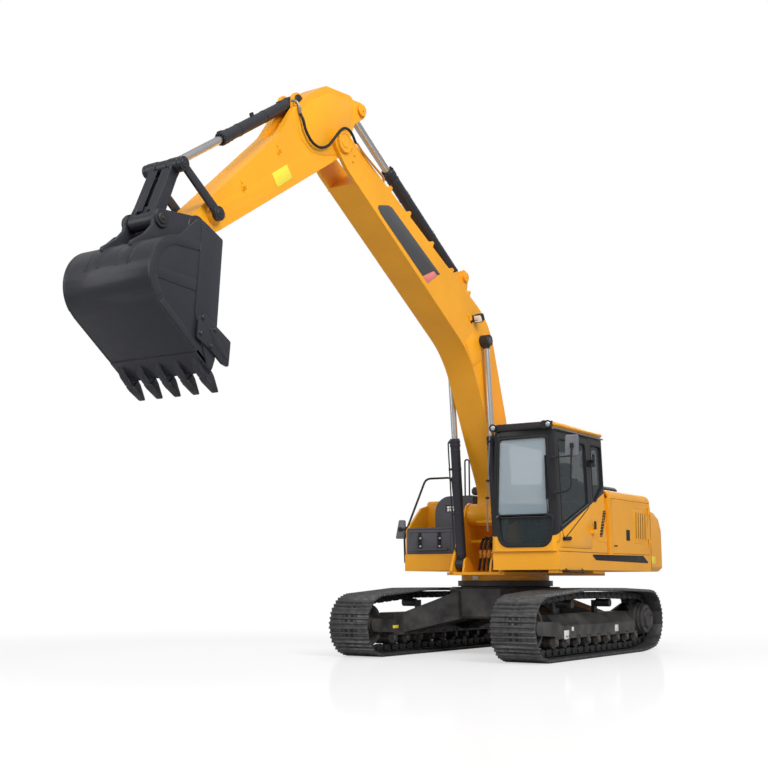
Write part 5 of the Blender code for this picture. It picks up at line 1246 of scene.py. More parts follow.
# Pipes follow the boom's back at a fixed distance; plates and caps lie on both sides
def makeBoom():
    made = softened("boom", "soft.boom", "orange_paint", 0.006)
    half = boom["half"]

    def nearLamp(centres):  # within 0.2 m of the lamp and outside the boom's side
        spot = inBar(centres, boomFoot, boomAngle)
        return (spot[:, 1] > half + 0.002) & (np.hypot(spot[:, 0] - 2.46, spot[:, 2] - 1.2) < 0.2)

    dropFaces(made, nearLamp)
    topLine = rounded(
        [(5.54, 0.235, 0.0), (2.2, 1.50, 0.9), (0.75, 0.83, 1.5), (0.0, 0.17, 0.0)], None, 14, False
    )
    pipes, clamps = [], []
    for y, radius in boom["pipes"]:
        line = band(topLine, 0.030 + radius)[len(topLine):][::-1][:24]
        route = np.stack([line[:, 0], np.full(len(line), y), line[:, 1]], -1)
        part = (route[0, 0] - boom["pipesEnd"]) / (route[0, 0] - route[1, 0])
        head = route[:1] * (1 - part) + route[1:2] * part
        foot = route[-1:] + (-0.05, 0, -0.01)
        nut = [(-0.012, radius), (-0.010, radius + 0.006), (0.05, radius + 0.006), (0.052, radius)]
        pipes.append(tube(smoothPath(np.concatenate([head, route[1:], foot]), 3), radius, 10))
        pipes.append(lathe(nut, head[0], route[1] - head[0], 6))
    lead = np.array(
        [
            head[0] * (1, -1, 1), (4.99, 0.206, 0.486), (5.11, 0.228, 0.415), (5.25, 0.230, 0.350),
            (5.44, 0.228, 0.272), (5.585, 0.224, 0.236)
        ]
    )
    pipes.append(tube(smoothPath(lead, 5), 0.014, 10))
    for u in boom["clamps"]:
        k = int(np.argmin(np.abs(topLine[:, 0] - u)))
        near = topLine[k + 1] - topLine[k - 1] if 0 < k < len(topLine) - 1 else topLine[1] - topLine[0]
        slope = math.degrees(math.atan2(*near[::-1])) + 180
        at = topLine[k] if abs(topLine[k, 0] - u) < 0.05 else (
            u, np.interp(-u, -topLine[:, 0], topLine[:, 1])
        )
        for y in (0.166, -0.168):
            holder = joined(
                block((-0.022, 0.022), (y - 0.045, y + 0.045), (-0.004, 0.036), 0.003),
                block((-0.020, 0.020), (y - 0.048, y + 0.048), (0.030, 0.066), 0.006),
                lathe([(0, 0.010), (0.010, 0.009)], (0, y, 0.065), (0, 0, 1), 6),
            )
            clamps.append(placed(holder, at, slope))
    ringAtTip = [
        (half + 0.028, 0.128), (half + 0.036, 0.126), (half + 0.036, 0.098), (half + 0.024, 0.096),
        (half + 0.024, 0.05)
    ]
    fork = joined(
        across((boomLong, 0), ringAtTip, 48),
        across((boomLong, 0), [(half + 0.02, 0.070), (half + 0.034, 0.070), (half + 0.038, 0.066)], 32),
        plank([(5.64, 0.030), (5.66, 0.10), (5.60, 0.125), (5.575, 0.06)], half - 0.002, half + 0.020, 0.003),
    )
    boltsAt = bolts(
        [(5.600, half + 0.018, 0.080), (5.50, half, 0.10), (5.46, half, 0.02)], (0, 1, 0), 0.014, 0.012
    )
    seam = tube(
        [(5.276, half, 0.30), (5.262, half, 0.18), (5.225, half, -0.02), (5.205, half, -0.10)], 0.004, 6
    )
    strip = roundPlate(
        [(2.02, 0.66), (2.40, 0.74), (2.36, 0.98), (2.10, 1.16), (1.93, 1.08)], 0.06, 4, half - 0.002,
        half + 0.006, 0.004
    )
    base = joined(
        strip, across(boomEye, [(half, 0.135), (half + 0.0055, 0.130)], 40),
        plank([(2.52, 1.03), (2.60, 1.05), (2.56, 1.12), (2.50, 1.10)], half - 0.002, half + 0.014, 0.003)
    )
    crowdCaps = [(0.140, 0.066), (0.156, 0.066), (0.160, 0.060), (0.160, 0.02)]
    crowdCaps = joined(across(crowdFoot, crowdCaps, 32), hexHead(crowdFoot, 0.159, 0.168, 0.018))
    footCap = across((0, 0), [(0.30, 0.118), (0.349, 0.115), (0.3515, 0.110)], 40)
    decal = plank(boom["decal"], half + 0.0004, half + 0.003, 0.0005)
    tail = plank(boom["decalTail"], half + 0.0004, half + 0.0028, 0.0005)
    u, v = boom["lamp"]
    bracket = joined(
        block((u - 0.006, u + 0.060), (half - 0.002, half + 0.006), (v - 0.10, v + 0.02), 0.002),
        block((u - 0.012, u + 0.012), (half, half + 0.085), (v - 0.052, v - 0.046), 0.002)
    )
    house = rounded(rect(-0.062, 0.062, -0.052, 0.052), 0.022, 5)
    shell = slab(house, -0.055, 0.020, 0.014, 3)
    glassRim = slab(house * 1.06, 0.012, 0.030, 0.005)
    lens = slab(house * 0.90, 0.024, 0.034, 0.004)

    def aimed(form):  # z of the lamp's own box looks forward and a little up
        points = form[0]
        x, y, z = points[:, 1], points[:, 0], points[:, 2]
        c, s = math.cos(math.radians(-30)), math.sin(math.radians(-30))
        turned = np.stack([c * z - s * x, y, s * z + c * x], -1)
        centre = np.array((boomFoot + turnedPoint((u, v), boomAngle)))
        return turned + np.array((centre[0] + 0.02, half + 0.090, centre[1])), form[1]

    orange = joined(bothSides(joined(fork, seam, base, boltsAt, crowdCaps)), clamps, footCap)
    parts = [(orange, "orange_paint"), (joined(pipes), "pipe orange"), (bothSides(decal), "decal grey")]
    parts += [(bothSides(tail), "decal red"), (bracket, "black_paint")]
    parts = [(placed(form, boomFoot, boomAngle), finish) for form, finish in parts]
    parts += [(aimed(joined(shell, glassRim)), "black_plastic"), (aimed(lens), "lamp lens")]
    piece("boomFittings", parts, "boom", (), 30)
    for side, y in (("Left", 0.10), ("Right", -0.10)):
        flat = np.array(
            [
                (2.50, y, 0.017), (2.60, y, 0.060), (2.74, y * 0.97, 0.100), (2.90, y * 0.92, 0.095),
                (3.03, y * 0.88, 0.055), (3.12, y * 0.85, 0.018)
            ]
        )
        flat[:, 2] += np.interp(-flat[:, 0], -topLine[:, 0], topLine[:, 1])
        spots = boomFoot[:, None] + turnedPoint((flat[:, 0], flat[:, 2]), boomAngle)
        hose("armHose" + side, np.stack([spots[0], flat[:, 1], spots[1]], -1), 0.034, "boom")


makeArm()
makeBoom()
print("arm and boom made")


# A wall of the cab: its lower rear corner, the directions of u and w on it, and outwards
leanLeft, leanRight = unit(np.array((0, -0.05, 1.5947))), unit(np.array((0, 0.06, 1.5947)))
cabWalls = {
    "front": ((1.165, 0.40, 1.3553), (0, 1, 0), (0, 0, 1), (1, 0, 0)),
    "left": ((-0.50, 1.35, 1.3553), (1, 0, 0), leanLeft, (0, 1, 0.031)),
    "right": ((-0.50, 0.40, 1.3553), (1, 0, 0), leanRight, (0, -1, 0.038)),
    "rear": ((-0.50, 0.40, 1.3553), (0, 1, 0), (0, 0, 1), (-1, 0, 0)),
}
cab = {
    "wall": 0.0275,
    "windows": {
        "windscreen_upper": (
            "front", [(0.103, 0.47, 0.05), (0.850, 0.47, 0.05), (0.819, 1.46, 0.05), (0.140, 1.46, 0.05)]
        ),
        "windscreen_lower": (
            "front", [(0.16, 0.09, 0.12), (0.83, 0.09, 0.12), (0.89, 0.43, 0.03), (0.12, 0.43, 0.03)]
        ),
        "glass_side_rear": (
            "left", [(0.09, 0.92, 0.05), (0.44, 0.64, 0.05), (0.44, 1.46, 0.05), (0.09, 1.46, 0.05)]
        ),
        "glass_right": (
            "right", [(0.16, 0.55, 0.06), (1.54, 0.55, 0.06), (1.54, 1.46, 0.06), (0.16, 1.46, 0.06)]
        ),
        "glass_rear": (
            "rear", [(0.16, 0.92, 0.05), (0.84, 0.92, 0.05), (0.82, 1.44, 0.05), (0.19, 1.44, 0.05)]
        ),
    },
    "upperFrame": [(0.070, 0.44, 0.05), (0.885, 0.44, 0.05), (0.848, 1.50, 0.07), (0.108, 1.50, 0.07)],
    "lamps": (0.50, 1.295), "handleY": 1.353, "mirrorX": 1.214,
    "doorWindow": [(0.62, 0.60, 0.06), (1.47, 0.14, 0.06), (1.47, 1.45, 0.06), (0.62, 1.45, 0.06)],
}


def onWall(place, form):  # (u, w, outwards from the wall's middle) to the machine's axes
    origin, u, w, out = (np.array(value, float) for value in cabWalls[place])
    points = form[0]
    return origin + points[:, :1] * u + points[:, 1:2] * w + (
        points[:, 2:] - cab["wall"]
    ) * unit(out), form[1]


# A ring round rounded corners, on a wall of the cab
def wallRing(place, corners, profile, radius=None, steps=6):
    return onWall(place, ringOn(rounded(corners, radius, steps), profile))


# A plate over rounded corners, on a wall of the cab
def wallPlate(place, corners, radius, low, high, edge):
    return onWall(place, slab(rounded(corners, radius, 3), low, high, edge))


def onFront(form, x, sign=1):  # outline in y and z, thickness forward from x, or rearward with sign -1
    return np.stack([x + sign * form[0][:, 2], form[0][:, 0], form[0][:, 1]], -1), form[1]


sealProfile = [
    (0.016, 0.0268), (0.015, 0.0305), (0.010, 0.0325), (0.0, 0.0325),
    (-0.006, 0.029), (-0.008, -0.019), (0.002, -0.0205), (0.004, 0.0268),
]


# Frames, seals and the wiper stand on the walls; rails and clips stand before them
def makeCab():
    softened("cab_shell", "soft.cab_shell", "cab paint", 0.008)
    wall, windows = cab["wall"], cab["windows"]
    lowProfile = [(0.040, -0.001), (0.038, 0.010), (0.030, 0.014), (0.012, 0.014), (0.010, -0.001)]
    highProfile = [(0.006, -0.001), (0.004, 0.008), (-0.006, 0.010), (-0.012, 0.008), (-0.014, -0.001)]
    dark = [wallRing(place, outline, sealProfile) for place, outline in windows.values()]
    for corners, profile in ((windows["windscreen_lower"][1], lowProfile), (cab["upperFrame"], highProfile)):
        dark.append(wallRing("front", corners, [(d, wall + high) for d, high in profile]))
    bar = [(0.095, 0.437), (0.862, 0.437), (0.858, 0.463), (0.098, 0.463)]
    bar = wallPlate("front", bar, 0.006, -0.010, wall + 0.014, 0.004)
    # The drip rail along the roof's left edge is real; its grey, paler than the black frame, is partly a painted
    # highlight along the top of the door frame
    dripRailAndHighlight = [(1.185, 1.335, 2.905), (1.12, 1.325, 2.925), (0.40, 1.325, 2.925), (-0.44, 1.325, 2.925)]
    rail = [(1.200, 0.428, 2.88), (1.203, 0.405, 2.50), (1.205, 0.385, 2.06), (1.203, 0.379, 1.62)]
    cornerLine = [(1.66, 0.105, wall), (1.585, 0.125, wall), (1.566, 0.15, wall), (1.560, 0.255, wall)]
    for y, z in ((0.396, 2.28), (0.384, 2.055), (0.424, 2.80)):
        dark.append(block((1.186, 1.222), (y - 0.022, y + 0.018), (z - 0.014, z + 0.014), 0.004))
    wiper = [(0.84, 0.455, wall + 0.020), (0.835, 0.60, wall + 0.030), (0.822, 0.95, wall + 0.026)]
    blade = [(0.812, 0.66), (0.822, 0.66), (0.812, 1.22), (0.802, 1.22)]
    hub = [(wall, 0.022), (wall + 0.028, 0.019), (wall + 0.034, 0.012)]
    dark.append(onWall("left", tube(cornerLine, 0.003, 6)))
    dark.append(onWall("front", joined(
        tube(smoothPath(wiper, 5), 0.006, 8), slab(blade, -0.012, wall + 0.016, 0.002),
        lathe(hub, (0.84, 0.455, 0), (0, 0, 1), 20),
    )))
    grey = joined(bar, tube(smoothPath(dripRailAndHighlight, 4), 0.011, 10), tube(smoothPath(rail, 5), 0.010, 10))
    piece("cabTrim", [(joined(dark), "black_plastic"), (grey, "trim grey")], "house")

    softened("cab_roof", "soft.cab_roof", "orange_paint", 0.0)
    softened("cab_visor", "soft.cab_visor", "charcoal_paint", 0.006)
    face = [(0, 0.030), (0.012, 0.034), (0.016, 0.032), (0.022, 0.022), (0.024, 0.009)]
    rim = [(0, 0.040), (0.0, 0.0515), (0.018, 0.0515), (0.018, 0.040), (0.006, 0.034)]
    lamps = joined(lathe(face, (1.2395, y, 2.966), (1, 0, -0.1), 28) for y in cab["lamps"])
    rims = joined(lathe(rim, (1.2385, y, 2.966), (1, 0, -0.1), 28) for y in cab["lamps"])
    bracket = block((1.185, 1.200), (0.86, 0.94), (2.915, 2.945), 0.004)
    piece("cabLamps", [(lamps, "cab lamp"), (joined(rims, bracket), "black_plastic")], "house")


# The orange skin and the band above it follow the sill, w = 0.851 - 0.395 u + rise
def makeDoor():
    softened("cab_door", "soft.cab_door", "cab paint", 0.006)
    wall = cab["wall"]
    sill = lambda *places: [(u, 0.851 - 0.395 * u + rise) for u, rise in places]
    skin = sill((0.560, 0.0), (1.530, 0.0)) + [(1.530, 0.062), (0.560, 0.062)]
    skin = wallPlate("left", skin, 0.012, wall - 0.060, wall + 0.0035, 0.003)
    edging = sill((0.575, 0.002), (1.530, 0.002), (1.530, 0.062), (0.64, 0.040), (0.575, 0.060))
    edging = wallPlate("left", edging, 0.008, wall - 0.050, wall + 0.006, 0.003)
    # A thin pale grey line along the band's top edge is a painted highlight on the black frame
    (u0, w0), (u1, w1) = sill((0.62, 0.040), (1.50, 0.060))
    paintedHighlightLine = onWall("left", tube([(u0, w0, wall + 0.005), (u1, w1, wall + 0.007)], 0.004, 6))
    plate = [(0.745, 1.500), (1.000, 1.487), (1.000, 1.535), (0.745, 1.550)]
    grip = [(0.775, 1.512), (0.975, 1.502), (0.975, 1.528), (0.775, 1.540)]
    handle = joined(
        slab(rounded(plate, 0.014, 3), 0, 0.006, 0.002), slab(rounded(grip, 0.010, 3), 0.010, 0.030, 0.005)
    )
    handle = shifted(onEdge(handle), 0, cab["handleY"], 0)
    pull = [(0.70, 0.66, -wall), (0.70, 0.66, -wall - 0.05), (1.25, 0.40, -wall - 0.05), (1.25, 0.40, -wall)]
    pull = onWall("left", tube(rounded(pull, 0.03, 4, False), 0.011, 10))
    knuckle = [(-0.055, 0.012), (-0.053, 0.0165), (0.053, 0.0165), (0.055, 0.012)]
    knuckles = joined(lathe(knuckle, (0.015, 1.38, z), (0, 0, 1), 16) for z in (1.72, 2.62))
    dark = joined(wallRing("left", cab["doorWindow"], sealProfile), edging, handle, pull)
    parts = [
        (dark, "black_plastic"), (skin, "orange_paint"), (paintedHighlightLine, "trim grey"), (knuckles, "black_paint")
    ]
    piece("doorTrim", parts, "cab_door")


# Three rounded plates one before the other, rearwards from the mirror's x, on a bent stalk
def makeLeftMirror():
    x = cab["mirrorX"]
    back = [(1.507, 2.537), (1.679, 2.537), (1.685, 2.805), (1.513, 2.812)]
    rim = [(1.503, 2.533), (1.683, 2.533), (1.689, 2.809), (1.509, 2.816)]
    face = [(1.518, 2.548), (1.668, 2.548), (1.674, 2.794), (1.524, 2.801)]
    back = slab(rounded(back, 0.022, 5), 0, 0.030, 0.010, 3)
    rim = slab(rounded(rim, 0.024, 5), 0.022, 0.040, 0.006)
    face = slab(rounded(face, 0.016, 4), 0.038, 0.0415, 0.001)
    stalk = [(1.178, 1.372, 2.085), (1.196, 1.46, 2.09), (1.222, 1.575, 2.14), (1.228, 1.590, 2.35)]
    stalk += [(1.228, 1.610, 2.66), (1.228, 1.615, 2.70)]
    mount = joined(
        tube(smoothPath(stalk, 6), 0.010, 10),
        tube([(1.175, 1.330, 2.540), (1.20, 1.42, 2.540), (1.228, 1.605, 2.542)], 0.008, 10),
        block(
            (1.212, 1.240), (1.590, 1.632), (2.645, 2.705), 0.005
        ), bolt((1.238, 1.611, 2.675), (1, 0, 0), 0.010, 0.008),
        block(
            (1.160, 1.205), (1.335, 1.380), (2.065, 2.110), 0.005
        ), block((1.160, 1.195), (1.318, 1.360), (2.520, 2.560), 0.005),
    )
    parts = [
        (onFront(joined(back, rim), x, -1), "mirror grey"), (onFront(face, x, -1), "mirror face"),
        (mount, "black_plastic")
    ]
    piece("leftMirror", parts, "house", ("mirror_left",))


# A padded form: |x|^p + |y|^p + |z|^p = 1 on each ray, its top crowned by a tenth
# Grooves across it are sunk by depth * exp(-(distance / 14 mm)^2), and fine creases follow a sine
def cushion(centre, half, grooves=(), depth=0.010, power=3.4, points=72):
    a = np.linspace(-math.pi / 2, math.pi / 2, points // 2 + 1)[:, None]
    b = turns(points)[None, :]
    ray = np.stack([np.cos(a) * np.cos(b), np.cos(a) * np.sin(b), np.sin(a) + 0 * b], -1)
    long = (np.abs(ray) ** power).sum(-1, keepdims=True) ** (-1 / power)
    soft = ray * long
    inside = 1 - np.minimum(np.abs(soft[..., :2]), 1) ** 2
    crown = 1 + 0.10 * inside[..., :1] * inside[..., 1:] * np.array((0, 0, 1))
    local = soft * crown * np.array(half)
    for axis, at in grooves:
        sink = depth * np.exp(-((local[..., axis] - at) / 0.014) ** 2)
        local = local - unit(soft) * sink[..., None]
    u, v = local[..., 0], local[..., 1]
    crease = 0.0012 * np.sin(v * 61 + 2 * np.sin(u * 23)) * np.exp(-((np.abs(u) - half[0] * 0.8) / 0.05) ** 2)
    local = local + unit(soft) * crease[..., None]
    form = surface(local, True, False)
    return form[0] + np.array(centre), form[1]


def leaned(form, centre, degrees):  # turned about the cab's cross axis
    c, s = math.cos(math.radians(degrees)), math.sin(math.radians(degrees))
    d = form[0] - np.array(centre)
    return np.stack(
        [c * d[:, 0] + s * d[:, 2], d[:, 1], -s * d[:, 0] + c * d[:, 2]], -1
    ) + np.array(centre), form[1]


seat = {"x": 0.18, "middle": 0.875, "floor": 1.3856, "lean": -9.5, "fill": 0.85}


def span(centre, half):  # from half below to half above
    return centre - half, centre + half


# Boxes with a bellows on the floor; the back leans with its shell and posts
def makeSeat():
    floor, middle, x = seat["floor"], seat["middle"], seat["x"]
    lean = lambda form: leaned(form, (x - 0.20, middle, floor + 0.42), seat["lean"])
    base = joined(
        block((x - 0.19, x + 0.25), span(middle, 0.19), (floor, floor + 0.05), 0.010),
        block((x - 0.15, x + 0.21), span(middle, 0.15), (floor + 0.04, floor + 0.30), 0.02),
        block((x - 0.22, x + 0.27), span(middle, 0.21), (floor + 0.29, floor + 0.345), 0.015),
        lean(
            slab(
                rounded(rect(x - 0.235, x - 0.215, *span(middle, 0.20)), 0.008, 2), floor + 0.42,
                floor + 1.00, 0.02
            )
        ),
        [
            block((x - 0.20, x + 0.26), span(middle + dy, 0.015), (floor + 0.345, floor + 0.362), 0.003)
            for dy in (-0.15, 0.15)
        ],
    )
    collar = rounded(rect(x - 0.16, x + 0.22, *span(middle, 0.16)), 0.03, 4)
    heights = [floor + high for high in (0.09, 0.135, 0.18, 0.225, 0.27)]
    folds = joined(
        ringOn(collar, [(0.0, z - 0.016), (0.018, z), (0.0, z + 0.016), (-0.02, z)]) for z in heights
    )
    posts = lean(
        joined(
            lathe([(0, 0.007), (0.14, 0.007)], (x - 0.185, middle + dy, floor + 0.96), (0, 0, 1), 12)
            for dy in (-0.06, 0.06)
        )
    )
    parts = [(base, "black_plastic"), (folds, "hose rubber"), (posts, "pipe steel")]
    piece("seatBase", parts, "house", ("seat",))
    sides = [(1, -0.13), (1, 0.13)]
    pan = cushion((x + 0.03, middle, floor + 0.415), (0.255, 0.245, 0.062), sides + [(0, -0.12), (0, 0.06)])
    back = cushion(
        (x - 0.185, middle, floor + 0.715), (0.060, 0.235, 0.290), sides + [(2, -0.12), (2, 0.02), (2, 0.16)]
    )
    head = cushion((x - 0.185, middle, floor + 1.115), (0.042, 0.125, 0.095), [(2, 0.0)], 0.006)
    for name, form in (("seatCushion", pan), ("seatBackrest", lean(back)), ("seatHeadrest", lean(head))):
        piece(name, [(form, "seat_cloth")], "house", (), 60)
    belt = [(x - 0.16, middle + 0.235, floor + 0.40), (x - 0.05, middle + 0.245, floor + 0.455)]
    belt = smoothPath(belt + [(x - 0.14, middle + 0.232, floor + 0.47)], 5)
    piece("seatBuckle", [(tube(belt, 0.008, 8), "black_plastic")], "house", (), 40)


# Consoles with lever boots, buttons and pads, a screen on a post, mat, treads and lining
def makeCabInside():
    for node, width in (("console_left", 0.004), ("console_right", 0.004), ("travel_pedals", 0.0)):
        softened(node, "soft." + node, "black_plastic", width)
    floor, middle, x = seat["floor"], seat["middle"], seat["x"]
    boot = [
        (0, 0.048), (0.012, 0.048), (0.022, 0.038), (0.034, 0.040), (0.046, 0.030), (0.058, 0.031),
        (0.068, 0.018)
    ]
    dark, pale = [], []
    for side in (-1, 1):
        y = middle + side * 0.3175
        dark.append(lathe(boot, (x + 0.36, y, floor + 0.600), (0.05, -side * 0.1, 1), 24))
        pale.append(block((x + 0.06, x + 0.30), span(y, 0.045), (floor + 0.632, floor + 0.640), 0.003))
        for k in range(5):
            spot = (x + 0.10 + 0.035 * k, y + 0.02 * (-1) ** k, floor + 0.638)
            dark.append(lathe([(0, 0.008), (0.010, 0.007)], spot, (0, 0, 1), 10))
        for k in range(-2, 3):
            z, u = floor + 0.075 + 0.02 * k, 0.86 + 0.03 * k
            dark.append(block((u, u + 0.012), span(middle + side * 0.09, 0.055), (z, z + 0.009), 0.002))
    tilted = lambda form: leaned(form, (0.94, 0.60, floor + 0.62), 12)
    dark.append(tilted(block((0.93, 0.965), (0.50, 0.72), (floor + 0.62, floor + 0.80), 0.012)))
    screen = tilted(block((0.925, 0.932), (0.515, 0.705), (floor + 0.640, floor + 0.780), 0.003))
    rings = [  # x, y and height of the post
        (1.00, 1.10, 0.47, 0.56, 0.05), (1.01, 1.09, 0.50, 0.575, 0.20), (1.00, 1.07, 0.515, 0.58, 0.34),
        (0.985, 1.055, 0.50, 0.56, 0.48), (0.96, 1.03, 0.475, 0.53, 0.62),
    ]
    post = loft([[(u, v, floor + high) for u, v in rect(x0, x1, y0, y1)] for x0, x1, y0, y1, high in rings])
    foot = slab(
        rounded([(0.90, 0.485), (1.06, 0.465), (1.08, 0.52), (0.94, 0.56)], 0.015, 3), floor, floor + 0.10,
        0.01
    )
    dark.append(block((0.30, 1.10), (0.47, 1.28), (floor - 0.002, floor + 0.006), 0.003))
    dark.append(block((-0.462, -0.435), (0.47, 1.28), (floor, floor + 0.86), 0.008))
    lining = block((-0.40, 1.08), (0.50, 1.24), (2.885, 2.905), 0.006)
    dash = tube([(1.125, 0.50, 1.80), (1.125, 1.24, 1.80)], 0.012, 10)
    parts = [(joined(dark), "black_plastic"), (joined(foot, post, dash, pale), "pale trim")]
    piece("cabInside", parts + [(screen, "screen"), (lining, "trim grey")], "house")


makeCab()
makeDoor()
makeLeftMirror()
makeSeat()
makeCabInside()
print("cab made")


# Left and rear of the house
house = {
    "side": 1.36,
    "louvre": [(-0.372, 1.935), (-0.480, 1.940), (-0.300, 1.578), (-0.200, 1.574)],
    "stripe": [(0.119, 1.330), (-1.740, 1.344), (-1.969, 1.238), (-0.025, 1.255)],
    "yellow": rect(-2.075, -2.235, 1.340, 1.232),
    "grille": [
        (-1.40, 2.020), (-1.985, 2.030), (-1.985, 1.800), (-1.900, 1.610), (-1.740, 1.530), (-1.40, 1.525)
    ],
    "plate": rect(-1.118, -1.255, 1.700, 1.547),
    "slots": (1.590, 1.965),
}


# Trim on the left side: louvre, stripe, raised outlines and seams stand 1 to 5 mm proud of the wall
def makeHouse():
    side = house["side"]
    for node, width in (
        ("body_frame", 0.006), ("engine_hood", 0.008), ("side_door_left", 0.006), ("side_door_right", 0.006)
    ):
        softened(node, "soft." + node, slotOf[node], width)
    softened("exhaust", "soft.exhaust", "black_paint", 0.003)
    # The louvre's black plate under its raised slats is painted shade in the openings between them
    toWall = np.array(house["louvre"]) - np.array(cabWalls["left"][0])[[0, 2]]
    dark = wallPlate("left", toWall, 0.010, 0.0262, 0.0282, 0.0005)
    raised = []
    for t in np.linspace(0.055, 0.945, 9):
        a, b = toWall[0] * (1 - t) + toWall[3] * t, toWall[1] * (1 - t) + toWall[2] * t
        slat = [a + (0.002, 0.003), b + (-0.002, 0.003), b + (-0.002, -0.003), a + (0.002, -0.003)]
        raised.append(onWall("left", slab(slat, 0.0275, 0.0295, 0.0008)))
    rim = [(0.010, 0.0270), (0.008, 0.0290), (0.002, 0.0290), (0.0, 0.0270)]
    raised.append(wallRing("left", toWall, rim, 0.014, 3))
    panel = [(0.33, 0.50), (0.33, 0.155), (0.085, 0.155), (0.03, 0.21), (0.20, 0.57)]
    rim = [(0.006, 0.0268), (0.004, 0.0300), (0.000, 0.0300), (-0.002, 0.0268)]
    raised.append(wallRing("left", panel, rim, 0.03, 4))
    for x in ((0.985, 1.120), (-0.385, 0.010)):
        raised.append(block(x, (1.20 if x[0] > 0 else 1.19, 1.33), (1.078, 1.122), 0.006))
    stripe = roundPlate(house["stripe"], 0.012, 3, side - 0.002, side + 0.002, 0.001)
    yellow = plank(house["yellow"], side - 0.001, side + 0.002, 0.0005)
    seams = joined(
        plank(band([(1.13, 1.3565), (-0.48, 1.3565)], 0.006), side - 0.010, side + 0.0012, 0.0004),
        bothSides(plank(rect(-2.072, -2.066, 1.13, 2.07), side - 0.002, side + 0.0012, 0.0004)),
    )
    footRail = [(0.95, 1.345, 1.14), (0.95, 1.40, 1.10), (0.45, 1.40, 1.10), (0.45, 1.345, 1.14)]
    lifting = [(-2.45, 0.62, 2.06), (-2.45, 0.62, 2.13), (-2.45, 0.80, 2.13), (-2.45, 0.80, 2.06)]
    rails = joined(
        tube(rounded(footRail, 0.03, 4, False), 0.012, 10), bothSides(
            tube(rounded(lifting, 0.03, 4, False), 0.014, 12)
        ),
    )
    collar = [(-0.012, 0.047), (-0.010, 0.053), (0.010, 0.053), (0.012, 0.047)]
    # dark holds the louvre's painted shade as well as the black stripe
    parts = [
        (joined(dark, stripe), "black_plastic"), (joined(raised), "orange_paint"), (yellow, "pale yellow")
    ]
    parts += [
        (seams, "hose rubber"), (rails, "black_paint"),
        (lathe(collar, (-1.72, -1.02, 2.42), (0, 0, 1), 28), "pipe steel")
    ]
    piece("houseTrim", parts, "house")

    grille = rounded(house["grille"], 0.05, 5)
    ring = onEdge(
        ringOn(
            grille,
            [(0.012, side - 0.001), (0.0084, side + 0.0045), (0.0, side + 0.0045), (-0.0036, side - 0.001)]
        )
    )
    latch = rounded([(-0.660, 1.455), (-0.770, 1.457), (-0.770, 1.472), (-0.660, 1.470)], 0.005, 2)
    raised = [ring, plank(grille, side - 0.012, side + 0.002, 0.0008)]
    dark = [
        roundPlate(house["plate"], 0.008, 3, side - 0.001, side + 0.002, 0.0006),
        plank(latch, side - 0.001, side + 0.012, 0.003)
    ]
    low, high = house["slots"]
    slant = lambda foot, head, wide, radius: rounded(
        [(foot, low), (head, high), (head - wide, high), (foot - wide, low)], radius, 3
    )
    # The thin black plates between the raised ribs are painted shade in the grille's slots
    for k in range(5):
        x = -1.485 - 0.088 * k
        dark.append(plank(slant(x + 0.010, x - 0.014, 0.020, 0.009), side, side + 0.003, 0.0004))
        raised.append(plank(slant(x - 0.014, x - 0.038, 0.028, 0.012), side, side + 0.008, 0.003))
    piece(
        "leftDoorTrim", [(joined(raised), "orange_paint"), (joined(dark), "black_plastic")], "side_door_left",
    )
    # The black strips in rows on the right door are painted shade in its slots
    rows = joined(
        plank(rect(-1.30, -1.90, z, z + 0.020), -side - 0.005, -side + 0.002, 0.002)
        for z in np.arange(1.56, 1.95, 0.048)
    )
    piece("rightDoorTrim", [(rows, "black_plastic")], "side_door_right")


# Right of the house: tool box front, fairing lamp, mirror, rails and the hoses between the girders
right = {
    "front": 0.470, "bolts": [(-1.087, 1.577), (-0.768, 1.574), (-1.088, 1.464), (-0.772, 1.462)],
    "straps": (-1.100, -0.780), "knobs": (1.452, 1.500, 1.560, 1.600), "lamp": 0.0715, "mirror": 0.312,
    "hoses": (-0.13, -0.065, 0.0, 0.065, 0.13), "hoseSize": 0.036,
}


# A rounded plate, in y and z, from low to high before x
def frontPlate(corners, radius, steps, low, high, edge, x):
    return onFront(slab(rounded(corners, radius, steps), low, high, edge), x)


